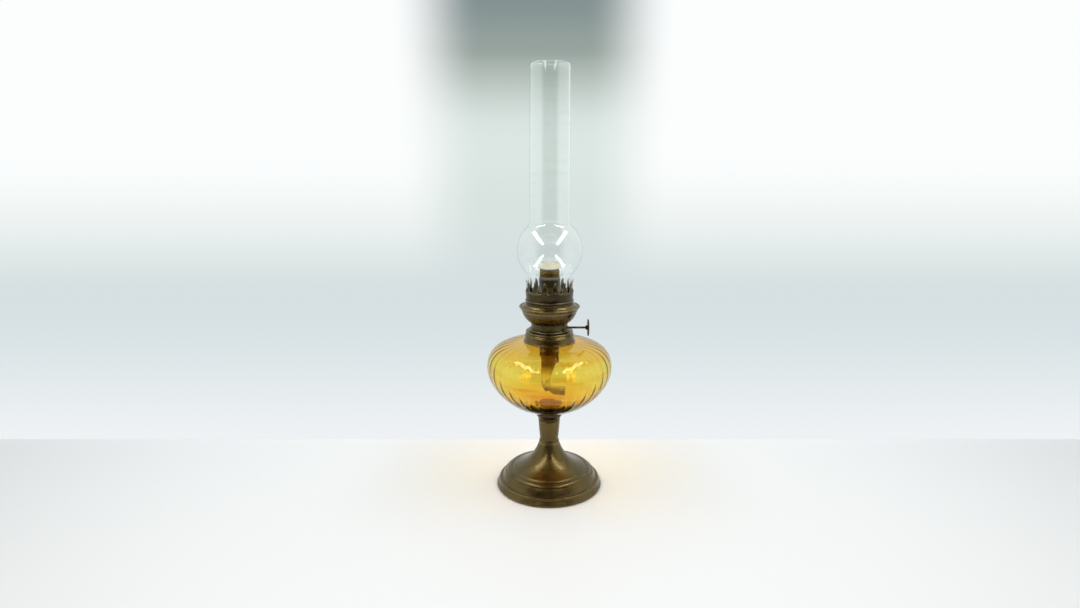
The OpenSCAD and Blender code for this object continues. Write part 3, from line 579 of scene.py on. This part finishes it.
# Burner ring: turned brass flange with two beads. Its sleeve has a coarse thread that is seen
# when the burner is screwed out of the collar.
thread_pitch = 2.4
thread_ridge = 0.24
ring_r, ring_low, ring_top = drawn("burner_ring")
ring_z = collar_top
sleeve_r = mouth_r - 0.35
sleeve_in_r = sleeve_r - 1
upper_r = ring_r - 3.4
ring_skin = ([(sleeve_r, ring_low), (sleeve_r, ring_z), (sleeve_r + 0.9, ring_z),
              (sleeve_r + 0.9, ring_top - 1.4), (upper_r - 1.3, ring_top - 1.8),
              (upper_r - 1.3, ring_z + 1.9), (ring_r - 1.9, ring_z + 1.6), (ring_r - 1.9, ring_z)]
             + arc((ring_r - 1.4, ring_z + 1.4), 1.4, -80, 100, 14)
             + [(upper_r + 0.4, ring_z + 2.8), (upper_r - 0.4, ring_z + 3.2)]
             + arc((upper_r - 0.9, ring_z + 4.2), 0.9, -60, 100, 12)
             + [(upper_r - 2.2, ring_z + 5.2), (upper_r - 3.0, ring_top - 0.3),
                (upper_r - 3.4, ring_top), (sleeve_in_r, ring_top), (sleeve_in_r, ring_low)])
ring = lathe("burner_ring_turned", ring_skin, 144, loop=True)
fit(ring, "screw_ring", "burner_brass", burner_brass, "burner_ring")


def screw_thread(name, r, out, low, high, pitch):
    """One ridge that winds round a sleeve."""
    form = bmesh.new()
    turns = (high - low - pitch) / pitch
    count = int(turns * 72)
    rows = []
    for i in range(count + 1):
        angle = 2 * math.pi * turns * i / count
        z = low + 0.5 * pitch + turns * pitch * i / count
        fade = min(1, i / 18, (count - i) / 18)
        section = ((r - 0.1, -0.3), (r + out * fade, -0.12), (r + out * fade, 0.12), (r - 0.1, 0.3))
        rows.append([form.verts.new(polar(wide, angle, z + up * pitch)) for wide, up in section])
    for low_row, high_row in zip(rows, rows[1:]):
        for k in range(3):
            form.faces.new((low_row[k], high_row[k], high_row[k + 1], low_row[k + 1]))
    return made_solid(name, form)


thread = screw_thread("burner_ring_thread", sleeve_r, thread_ridge, ring_low, ring_z, thread_pitch)
fit(thread, "screw_ring", "burner_brass", burner_brass)

# Basket: waist and bowl spun from one piece of thin brass. Two rows of air holes are punched
# in the bowl, and the waist stands on the pan inside the ring.
basket_sheet = 0.7
basket_pow = 1.6
waist_r = 22.2
bowl_h = 17.0
bowl_holes = 24
hole_r = 1.2
bowl_r, burner_z, gallery_z = drawn("burner_basket")
cell_steps = 6
bowl_columns = cell_steps * bowl_holes


def bowl_at(column, sweep):
    """A point of the bowl's skin: a place round the rim, and 0 to 90 degrees up its sweep."""
    a = math.radians(sweep)
    r = waist_r + (bowl_r - waist_r) * math.sin(a) ** basket_pow
    return polar(r, 2 * math.pi * column / bowl_columns, gallery_z - bowl_h * math.cos(a))


def skin_band(form, low, high):
    """Faces between two rings of points, with their front outwards."""
    count = len(low)
    for k in range(count):
        n = (k + 1) % count
        form.faces.new((low[k], low[n], high[n], high[k]))


def pierced_band(form, low, high, sweeps, turn):
    """A row of cells between two rings, each with a round hole in its middle."""
    shares = (0.25, 0.5, 0.75)
    middle = (sweeps[0] + sweeps[1]) / 2
    up_mm = (Vector(bowl_at(0, sweeps[1])) - Vector(bowl_at(0, sweeps[0]))).length / mm
    round_mm = 2 * math.pi * Vector(bowl_at(0, middle)[:2]).length / mm / bowl_columns
    posts = []
    for i in range(bowl_holes):
        column = i * cell_steps + turn
        posts.append([form.verts.new(bowl_at(column, sweeps[0] + (sweeps[1] - sweeps[0]) * s))
                      for s in shares])
    for i in range(bowl_holes):
        start = i * cell_steps + turn
        across = list(range(cell_steps + 1))
        low_edge = [low[(start + k) % bowl_columns] for k in across]
        high_edge = [high[(start + k) % bowl_columns] for k in across]
        edge = low_edge + posts[(i + 1) % bowl_holes] + high_edge[::-1] + posts[i][::-1]
        half = cell_steps / 2
        spots = [(k - half, -0.5) for k in across] + [(half, s - 0.5) for s in shares]
        spots += [(k - half, 0.5) for k in across[::-1]] + [(-half, s - 0.5) for s in shares[::-1]]
        rim = []
        lip = []
        for x, y in spots:
            angle = math.atan2(y * up_mm, x * round_mm)
            at_x = hole_r * math.cos(angle) / round_mm
            at_y = hole_r * math.sin(angle) / up_mm
            for ring_points, share in ((rim, 0.0), (lip, 0.45)):
                column = start + half + at_x + share * (x - at_x)
                sweep = middle + (sweeps[1] - sweeps[0]) * (at_y + share * (y - at_y))
                ring_points.append(form.verts.new(bowl_at(column, sweep)))
        skin_band(form, edge, lip)
        skin_band(form, lip, rim)


def thicken(piece, sheet):
    """Sheet metal: the skin gets its thickness on the inside."""
    gauge = piece.modifiers.new("gauge", "SOLIDIFY")
    gauge.thickness = sheet * mm
    gauge.offset = -1


form = bmesh.new()
waist_line = eased([(waist_r + 0.7, burner_z), (waist_r + 0.7, burner_z + 0.8),
                    (waist_r, burner_z + 1.3), (waist_r, burner_z + 3), (waist_r, gallery_z - bowl_h - 0.6)],
                   0.3)
rings = []
for r, z in waist_line:
    rings.append([form.verts.new(polar(r, 2 * math.pi * k / bowl_columns, z))
                  for k in range(bowl_columns)])
plain_low = [0, 3, 7, 12, 18, 24, 30]
for sweep in plain_low:
    rings.append([form.verts.new(bowl_at(k, sweep)) for k in range(bowl_columns)])
for low, high in zip(rings, rings[1:]):
    skin_band(form, low, high)
between = [form.verts.new(bowl_at(k, 45)) for k in range(bowl_columns)]
above = [form.verts.new(bowl_at(k, 60)) for k in range(bowl_columns)]
pierced_band(form, rings[-1], between, (30, 45), -cell_steps // 2)
pierced_band(form, between, above, (45, 60), 0)
for sweep in (66, 72, 78, 84, 90):
    higher = [form.verts.new(bowl_at(k, sweep)) for k in range(bowl_columns)]
    skin_band(form, above, higher)
    above = higher
basket = made_solid("basket_pierced_bowl", form)
thicken(basket, basket_sheet)
basket_brass = aged_brass("basket_brass", (0.05, 0.037, 0.012, 1), (0.125, 0.094, 0.034, 1),
                          (0.3, 0.24, 0.12, 1), gloss=(0.22, 0.38), wear=0.2)
fit(basket, "burner", "burner_brass", basket_brass, "burner_basket")

# Gallery: a spun ring that grips the bowl with a short skirt. Its rim is rolled outwards to a
# bead, and its shoulder slopes up to the crown.
gallery_r, gallery_low, gallery_top = drawn("gallery_ring")
skirt_r = bowl_r + 0.76
hub_r = 27.8
roll_z = gallery_z + 2.6
gallery_skin = ([(skirt_r - 0.1, gallery_low), (skirt_r, gallery_low + 0.3), (skirt_r, gallery_z - 0.2)]
                + bend((skirt_r + 0.2, gallery_z + 0.5), (gallery_r - 1.4, gallery_z + 0.8),
                       (gallery_r - 1.2, roll_z - 0.9), 8)
                + arc((gallery_r - 0.95, roll_z), 0.95, -70, 160, 16)
                + bend((gallery_r - 2.1, roll_z + 0.1), (gallery_r - 4.6, gallery_top - 2.6),
                       (gallery_r - 5.4, gallery_top - 1.2), 8)
                + bend((gallery_r - 5.9, gallery_top - 0.7), (gallery_r - 7.4, gallery_top),
                       (hub_r, gallery_top), 6))
gallery_in = [(hub_r, gallery_top - 0.7), (gallery_r - 7.2, gallery_top - 0.75),
              (gallery_r - 5.4, gallery_top - 2.2), (gallery_r - 3.2, roll_z + 0.2),
              (gallery_r - 2.0, roll_z - 0.6), (skirt_r - 0.2, gallery_z + 1.0),
              (skirt_r - 0.7, gallery_z), (skirt_r - 0.7, gallery_low)]
gallery = lathe("gallery_rolled_ring", gallery_skin + eased(gallery_in, 0.3), 168, loop=True)
fit(gallery, "burner", "burner_brass", burner_brass, "gallery_ring")

# Inside the burner: the pan that closes it below, the perforated air plate under the crown, the
# air port at the back, and the bracket and bush that carry the spindle. Dull unpolished brass.
# Its colours are darker than the outer brass: painted shade inside the burner.
inner_brass = aged_brass("inner_brass", (0.04, 0.03, 0.012, 1), (0.1, 0.075, 0.03, 1),
                         (0.3, 0.24, 0.12, 1), gloss=(0.36, 0.56), spun=0.00003)
dress(inner_brass, "burner_floor", "air_plate", "draught_port", "spindle_bracket", "spindle_bush")

# Crown: a ring of thin brass with a bead, a seat for the chimney and fourteen springy prongs
# that are cut from the ring, pinched in to grip the glass and flared at their tips.
prong_count = 14
prong_foot_w = 8.0
prong_tip_w = 1.6
prong_h = 13.5
prong_sheet = 0.7
prong_pinch = 1.6
prong_tip_round = 1.1
crown_waist_r = 28.4
crown_r = 29.0
crown_low = drawn("crown")[1]
crown_top = drawn("crown")[2]
prong_z = crown_top - prong_h
seat_z = drawn("chimney")[1]
seat_in_r = 24.2
prong_columns = 22
crown_columns = prong_count * prong_columns
prong_pitch = 2 * math.pi * crown_r / prong_count
gap_foot = (prong_pitch - prong_foot_w) / 2
gap_top = (prong_pitch - prong_tip_w) / 2


def prong_edge(column):
    """How high the brass reaches over the foot of the prongs, round gaps and pointed tips."""
    from_tip = (column % prong_columns) / prong_columns * prong_pitch
    from_tip = min(from_tip, prong_pitch - from_tip)
    from_gap = prong_pitch / 2 - from_tip
    if from_gap < gap_foot:
        return gap_foot - math.sqrt(gap_foot ** 2 - from_gap ** 2)
    flank = gap_foot + (from_gap - gap_foot) * (prong_h + 1 - gap_foot) / (gap_top - gap_foot)
    return min(flank, prong_h - prong_tip_round * from_tip ** 2)


def crown_wall_r(z):
    """The wall widens a little up to the prongs, which are drawn in at half their height."""
    if z < prong_z:
        start = seat_z + 1
        return crown_waist_r + (crown_r - crown_waist_r) * max(0, z - start) / (prong_z - start)
    t = (z - prong_z) / prong_h
    return crown_r - 4 * prong_pinch * t * (1 - t)


form = bmesh.new()
crown_line = ([(crown_waist_r, crown_low), (crown_waist_r, crown_low + 1.6)]
              + arc((crown_waist_r - 0.1, crown_low + 3.2), 1.1, -80, 80, 10)
              + [(crown_waist_r, crown_low + 4.8), (crown_waist_r, seat_z + 1)])
rings = []
for r, z in crown_line:
    rings.append([form.verts.new(polar(r, 2 * math.pi * k / crown_columns, z))
                  for k in range(crown_columns)])
prong_rows = 14
for j in range(1, prong_rows + 1):
    ring_row = []
    for k in range(crown_columns):
        top = prong_z + prong_edge(k)
        z = seat_z + 1 + (top - seat_z - 1) * j / prong_rows
        ring_row.append(form.verts.new(polar(crown_wall_r(z), 2 * math.pi * k / crown_columns, z)))
    rings.append(ring_row)
for low, high in zip(rings, rings[1:]):
    skin_band(form, low, high)
seat = []
for r in (crown_waist_r - 0.1, 27.2, 26.0, seat_in_r):
    seat.append([form.verts.new(polar(r, 2 * math.pi * k / crown_columns, seat_z))
                 for k in range(crown_columns)])
for low, high in zip(seat, seat[1:]):
    skin_band(form, low, high)
crown = made_solid("crown_of_prongs", form)
thicken(crown, prong_sheet)
crown_brass = aged_brass("crown_brass", (0.036, 0.025, 0.009, 1), (0.09, 0.064, 0.025, 1),
                         (0.34, 0.27, 0.14, 1), gloss=(0.22, 0.4))
fit(crown, "burner", "burner_brass", crown_brass, "crown")

# Centring sleeve: a bell of sheet brass that stands on the air plate and steadies the wick
# tube. The flame has darkened it.
sleeve_bore = 11.96
sleeve_wall = 0.7
sleeve_flare = 7.6
sleeve_foot_r, sleeve_low, sleeve_top = drawn("centring_sleeve")
bell_r = sleeve_bore + sleeve_wall
sleeve_curve = bend((bell_r + sleeve_flare, sleeve_low + 1.2), (bell_r + sleeve_flare - 1, sleeve_low + 12),
                    (bell_r, sleeve_low + 20), 20)
sleeve_skin = eased([(sleeve_foot_r - 0.2, sleeve_low), (sleeve_foot_r, sleeve_low + 0.35),
                     (sleeve_foot_r - 0.2, sleeve_low + 0.7)]
                    + sleeve_curve
                    + [(bell_r, sleeve_top - 1.5), (bell_r + 0.3, sleeve_top - 1.1),
                       (bell_r + 0.3, sleeve_top - 0.3), (bell_r - 0.1, sleeve_top),
                       (sleeve_bore, sleeve_top), (sleeve_bore, sleeve_low + 19.6)], 0.2)
sleeve_lining = [(r - sleeve_wall, z - 0.5) for r, z in sleeve_curve[:-1]][::-1]
sleeve = lathe("centring_bell", sleeve_skin + sleeve_lining + [(sleeve_foot_r - 1.4, sleeve_low)],
               96, loop=True)
soot_brass = aged_brass("soot_brass", (0.02, 0.0145, 0.005, 1), (0.06, 0.043, 0.015, 1),
                        (0.24, 0.19, 0.1, 1), gloss=(0.4, 0.62), spun=0.00003)
fit(sleeve, "burner", "soot_brass", soot_brass, "centring_sleeve")

# Wick tubes: two thin drawn tubes, one in the other, with the wick in the gap between them.
dress(soot_brass, "draught_tube")
dress(aged_brass("tube_brass", (0.022, 0.016, 0.003, 1), (0.048, 0.036, 0.007, 1),
                 (0.3, 0.22, 0.08, 1), gloss=(0.3, 0.5), spun=0.00003, wear=0.15), "wick_tube")

# Winder: a steel-hard brass spindle with two toothed wheels that bite into the wick. The knob
# is a thin brass disc with a milled edge and a sunk face, pressed on the spindle's end.
knob_low, knob_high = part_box("wick_knob")
knob_y = (knob_low.y + knob_high.y) / 2
knob_z = (knob_low.z + knob_high.z) / 2
knob_r = (knob_high.z - knob_low.z) / 2 / mm
knob_from = knob_low.x / mm
knob_to = knob_high.x / mm
knob_face = knob_to - 1.8
knob_teeth = 44
knob_cut = 0.45


def milled(angle):
    """Round-bottomed notches with flat lands between them."""
    return max(0, math.cos(knob_teeth * angle)) ** 0.7


def across(outline):
    """An outline whose last two points close the piece on its axis."""
    return [(0, outline[0][1])] + outline + [(0, outline[-1][1])]


knob_line = across([(2.3, knob_from), (2.7, knob_from + 0.4), (2.7, knob_face - 0.2),
                    (3.1, knob_face), (knob_r - 0.9, knob_face), (knob_r - 0.4, knob_face + 0.1, 0.3 * knob_cut),
                    (knob_r, knob_face + 0.5, knob_cut), (knob_r, knob_to - 0.5, knob_cut),
                    (knob_r - 0.4, knob_to - 0.1, 0.3 * knob_cut), (knob_r - 1.0, knob_to),
                    (knob_r - 1.7, knob_to), (knob_r - 2.2, knob_to - 0.5), (knob_r - 4.4, knob_to - 0.55),
                    (knob_r - 4.8, knob_to - 0.25), (knob_r - 5.4, knob_to - 0.25),
                    (knob_r - 5.8, knob_to - 0.55), (1.5, knob_to - 0.55)])
knob = lathe("knob_milled_disc", knob_line, 352, notch=milled)
knob.data.transform(Matrix.Translation((0, knob_y, knob_z)) @ Matrix.Rotation(math.radians(90), 4, "Y"))
winder_brass = aged_brass("winder_brass", (0.014, 0.012, 0.007, 1), (0.034, 0.028, 0.014, 1),
                          (0.2, 0.16, 0.09, 1), gloss=(0.22, 0.36), spun=0.00002)
fit(knob, "winder", "burner_brass", winder_brass, "wick_knob")
dress(winder_brass, "spindle", "wick_gears")

# Wick: one woven band of cotton, curled into a tube between the brass tubes, open at the back
# where the air port crosses it. Below the tubes it hangs as a flattened roll and turns to the
# right along the bottom of the font. Each level holds a middle, two half axes and half its slit.
wick_w = 64.5
wick_t = 1.6
wick_r = 10.25
wick_side = 64
port_slit = 22.8
wick_low, wick_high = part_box("wick")
wick_top = wick_high.z / mm
tube_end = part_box("wick_tube")[0].z / mm
port_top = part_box("draught_port")[1].z / mm


def round_level(z, slit):
    """A level at which the wick is round, as it is between the tubes."""
    return ((0, 0, z), (wick_r, 0, 0), (0, wick_r, 0), (slit,))


straight_levels = [round_level(wick_top - 1.2, 2.5), round_level(port_top + 30, 2.5),
                   round_level(port_top + 10, port_slit), round_level(tube_end - 4, port_slit)]
tail_levels = [
    straight_levels[-1],
    ((-0.5, -0.5, tube_end - 10), (9.6, 0.8, 0), (0, 8.8, 0), (22,)),
    ((-2, -1.5, tube_end - 17), (7.2, 3, 0), (-2.4, 7.6, 0), (20,)),
    ((-4.2, -3, tube_end - 24), (4.6, 1.8, 0), (-2.6, 9.8, 0), (16,)),
    ((-6, -4.8, tube_end - 31), (3.8, 1, 0.4), (-2, 10.8, 0.6), (14,)),
    ((-5.4, -6.6, tube_end - 37.5), (3.2, 0.8, 1.6), (-1.6, 10.8, -1.4), (14,)),
    ((-1.4, -8.2, tube_end - 42.5), (2.2, 1, 3), (-1.2, 10.2, -4), (14,)),
    ((5, -9, tube_end - 45.6), (0.9, 1.4, 3.6), (-0.8, 9.6, -6.2), (14,)),
    ((12.5, -9.2, tube_end - 47.2), (0.4, 1.8, 3.7), (-0.4, 9.2, -7), (14,)),
    ((20, -9, tube_end - 47.8), (0.3, 2, 3.7), (0.3, 9, -7.4), (14,))]


def between_levels(a, b, share):
    """A level part of the way from one to the next."""
    return tuple(tuple(p + (q - p) * share for p, q in zip(x, y)) for x, y in zip(a, b))


def through_levels(levels, i, t):
    """A level on the smooth path through all of them, after number i."""
    a, b = levels[max(i - 1, 0)], levels[i]
    c, d = levels[i + 1], levels[min(i + 2, len(levels) - 1)]
    made = []
    for w, x, y, z in zip(a, b, c, d):
        made.append(tuple(0.5 * (2 * q + (r - p) * t + (2 * p - 5 * q + 4 * r - s) * t * t
                                 + (3 * q - p - 3 * r + s) * t ** 3)
                          for p, q, r, s in zip(w, x, y, z)))
    return tuple(made)


def curl(level, k, out):
    """A point of the band: k along its width, out millimetres from its middle layer."""
    middle, u, v, slit = (Vector(part) if len(part) == 3 else part[0] for part in level)
    a = math.radians(90 + slit + (360 - 2 * slit) * k / wick_side)
    side = Vector((v.length * math.cos(a), u.length * math.sin(a))).normalized()
    return (middle + u * (math.cos(a) + out * side.x / u.length)
            + v * (math.sin(a) + out * side.y / v.length))


wick_rows = []
for a, b in zip(straight_levels, straight_levels[1:]):
    steps = max(2, round((a[0][2] - b[0][2]) / 4))
    wick_rows += [between_levels(a, b, i / steps) for i in range(steps)]
for i in range(len(tail_levels) - 1):
    wick_rows += [through_levels(tail_levels, i, j / 4) for j in range(4)]
wick_rows.append(tail_levels[-1])

chance = random.Random(11)
ragged = [chance.uniform(-1, 1) for k in range(wick_side + 1)]
ragged = [(ragged[max(k - 1, 0)] + 2 * ragged[k] + ragged[min(k + 1, wick_side)]) / 4
          for k in range(wick_side + 1)]
form = bmesh.new()
weave = form.loops.layers.uv.new("weave")
spot = {}
band_rows = []
length = 0.0
before = None
for number, row in enumerate(wick_rows):
    mid = [curl(row, k, 0) for k in range(wick_side + 1)]
    if before:
        length += (Vector(row[0]) - Vector(wick_rows[number - 1][0])).length
    before = mid
    points = []
    for k, out in ([(k, wick_t / 2) for k in range(wick_side + 1)]
                   + [(k, -wick_t / 2) for k in range(wick_side, -1, -1)]):
        point = curl(row, k, out)
        if number == 0:
            point.z += 1.1 * ragged[k] - (0.15 if out < 0 else 0)
        made = form.verts.new(point * mm)
        spot[made] = (k / wick_side * wick_w, length)
        points.append(made)
    band_rows.append(points)
for upper, lower in zip(band_rows, band_rows[1:]):
    count = len(upper)
    for k in range(count):
        n = (k + 1) % count
        form.faces.new((lower[k], lower[n], upper[n], upper[k]))
for points, up in ((band_rows[0], True), (band_rows[-1], False)):
    for k in range(wick_side):
        corners = (points[k], points[k + 1], points[-2 - k], points[-1 - k])
        form.faces.new(corners if up else corners[::-1])
for face in form.faces:
    for corner in face.loops:
        corner[weave].uv = spot[corner.vert]
wick = made_solid("wick_woven_band", form, 60)


def woven_cotton(name, yarn, cream, oiled, tarnish_and_shade, oil_z, brass_z, burnt_z):
    """Plain weave of soft thread, cream where it is clean, stained with oil at its end, darker round the
    lower end of the brass tube with tarnish and painted shade, and scorched along its upper edge."""
    finish, tree = new_finish(name)
    place = add(tree, "TexCoord").outputs["Object"]
    cloth = add(tree, "UVMap", uv_map="weave").outputs["UV"]
    parts = add(tree, "SeparateXYZ", {0: cloth})
    ridges = []
    for part in ("X", "Y"):
        turns = add(tree, "Math", {0: parts.outputs[part], 1: math.pi / yarn}, operation="MULTIPLY")
        wave = add(tree, "Math", {0: turns.outputs[0]}, operation="SINE")
        ridges.append(add(tree, "Math", {0: wave.outputs[0]}, operation="ABSOLUTE").outputs[0])
    squares = add(tree, "TexChecker", {"Vector": cloth, "Scale": 1 / yarn, "Color1": (0, 0, 0, 1),
                                       "Color2": (1, 1, 1, 1)}).outputs["Fac"]
    thread_up = add(tree, "Mix", {0: squares, 2: ridges[0], 3: ridges[1]}).outputs[0]
    fuzz = add(tree, "TexNoise", {"Vector": place, "Scale": 1600, "Detail": 5})
    stain = add(tree, "TexNoise", {"Vector": place, "Scale": 150, "Detail": 4})
    height = add(tree, "SeparateXYZ", {0: place}).outputs["Z"]
    soaked = add(tree, "Math", {0: steer(tree, height, oil_z, oil_z + 0.013, 1, 0),
                                1: steer(tree, stain.outputs["Fac"], 0.3, 0.6, 0.85, 1)},
                 operation="MULTIPLY")
    # A band round the lower end of the brass tube: tarnish where the wick rubs on it, and painted shade under
    # the tube.
    rubbed = add(tree, "Math", {0: steer(tree, height, brass_z - 0.025, brass_z - 0.012, 0, 1),
                                1: steer(tree, height, brass_z + 0.03, brass_z + 0.06, 1, 0)},
                 operation="MULTIPLY")
    colour = tint(tree, steer(tree, stain.outputs["Fac"], 0.35, 0.65, 0, 0.5), cream,
                  [0.72 * c for c in cream[:3]] + [1])
    colour = tint(tree, soaked.outputs[0], colour, oiled)
    colour = tint(tree, rubbed.outputs[0], colour, tarnish_and_shade)
    # Painted shade between the threads: the low parts of the weave are painted darker.
    colour = tint(tree, steer(tree, thread_up, 0, 0.8, 0.5, 0), colour, [0.45 * c for c in cream[:3]] + [1])
    scorched = add(tree, "Math", {0: steer(tree, height, burnt_z - 0.0016, burnt_z, 0, 1),
                                  1: steer(tree, stain.outputs["Fac"], 0.36, 0.58, 0.15, 0.95)},
                   operation="MULTIPLY")
    colour = tint(tree, scorched.outputs[0], colour, (0.11, 0.07, 0.03, 1))
    relief = add(tree, "Bump", {"Height": thread_up, "Strength": 0.9, "Distance": 0.0004})
    hair = add(tree, "Bump", {"Height": fuzz.outputs["Fac"], "Strength": 0.5, "Distance": 0.0002,
                              "Normal": relief.outputs["Normal"]})
    shader = add(tree, "BsdfPrincipled", {"Base Color": colour, "Roughness": 0.92, "Sheen Weight": 0.12,
                                          "Normal": hair.outputs["Normal"]})
    add(tree, "OutputMaterial", {"Surface": shader.outputs[0]})
    return finish


cotton = woven_cotton("woven_cotton", 1.1, (0.8, 0.73, 0.53, 1), (0.3, 0.2, 0.01, 1),
                      (0.17, 0.085, 0.005, 1), wick_low.z + 0.015, tube_end * mm, wick_high.z)
fit(wick, "wick_band", "cotton", cotton, "wick")

# Loose threads: the burnt and trimmed edge of the wick frays into short soft ends.
form = bmesh.new()
for number in range(90):
    k = chance.uniform(0, wick_side)
    foot_at = curl(wick_rows[0], k, chance.uniform(-0.5, 0.5))
    out = Vector((foot_at.x, foot_at.y, 0)).normalized()
    lean = out * chance.uniform(-0.1, 0.1) + out.cross(Vector((0, 0, 1))) * chance.uniform(-0.6, 0.6)
    tall = chance.uniform(0.8, 2.2)
    thin = chance.uniform(0.1, 0.17)
    rows = []
    for j in range(4):
        share = j / 3
        middle = foot_at + (lean * share * (0.5 + 0.5 * share) + Vector((0, 0, share))) * tall
        width = thin * (1 - 0.75 * share)
        rows.append([form.verts.new((middle + Vector((width * math.cos(a), width * math.sin(a), 0))) * mm)
                     for a in (0, 2.1, 4.2)])
    for low, high in zip(rows, rows[1:]):
        skin_band(form, low, high)
    form.faces.new(rows[-1])
threads = made_solid("wick_loose_threads", form)
fit(threads, "wick_band", "cotton", cotton)

# Chimney: clear glass blown in one piece, with a straight foot, a ball round the flame and a
# long tube. Foot and lip are ground flat and melted smooth. It stands loose between the prongs.
chimney_foot_r = 26.4
chimney_wall = 1.6
tube_top_r = 23.4
tube_low_r = 24.2
ball_up = 56.8
blend_r = 8.0
ball_r, chimney_low, chimney_top = drawn("chimney")


def chimney_side(inset):
    """One face of the glass from the foot to the top, set in from the outside."""
    mid = chimney_low + ball_up
    low = math.degrees(math.acos((chimney_foot_r + blend_r) / (ball_r + blend_r)))
    up = math.degrees(math.acos((tube_low_r + blend_r) / (ball_r + blend_r)))
    low_at = (chimney_foot_r + blend_r, mid - (ball_r + blend_r) * math.sin(math.radians(low)))
    up_at = (tube_low_r + blend_r, mid + (ball_r + blend_r) * math.sin(math.radians(up)))
    top_r = tube_top_r - inset
    foot_line = [(chimney_foot_r - inset, chimney_low + chimney_wall / 2 + 3 * i) for i in range(8)]
    tube_line = [(tube_low_r - inset + (tube_top_r - tube_low_r) * i / 24,
                  up_at[1] + (chimney_top - chimney_wall / 2 - up_at[1]) * i / 24) for i in range(1, 24)]
    return ([p for p in foot_line if p[1] < low_at[1] - 1]
            + arc(low_at, blend_r + inset, 180, 180 - low, 12)
            + arc((0, mid), ball_r - inset, 3 - low, up - 3, 48)
            + arc(up_at, blend_r + inset, 180 + up, 180, 12)
            + tube_line + [(top_r, chimney_top - chimney_wall / 2)])


lip_r = chimney_wall / 2
lip = arc((tube_top_r - lip_r, chimney_top - lip_r), lip_r, 18, 162, 8)
toe = arc((chimney_foot_r - lip_r, chimney_low + lip_r), lip_r, 198, 342, 8)
chimney_line = chimney_side(0) + lip + chimney_side(chimney_wall)[::-1] + toe
chimney = lathe("chimney_blown_glass", chimney_line, 216, loop=True)
clear_glass = glass("clear_glass", (0.985, 0.995, 0.99, 1), (0.96, 0.98, 0.972, 1), (1, 1, 1, 1),
                    (0.75, 0.9, 0.84, 1), 9, 0.000008, ())
fit(chimney, "glass_chimney", "clear_glass", clear_glass, "chimney")

low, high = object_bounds()
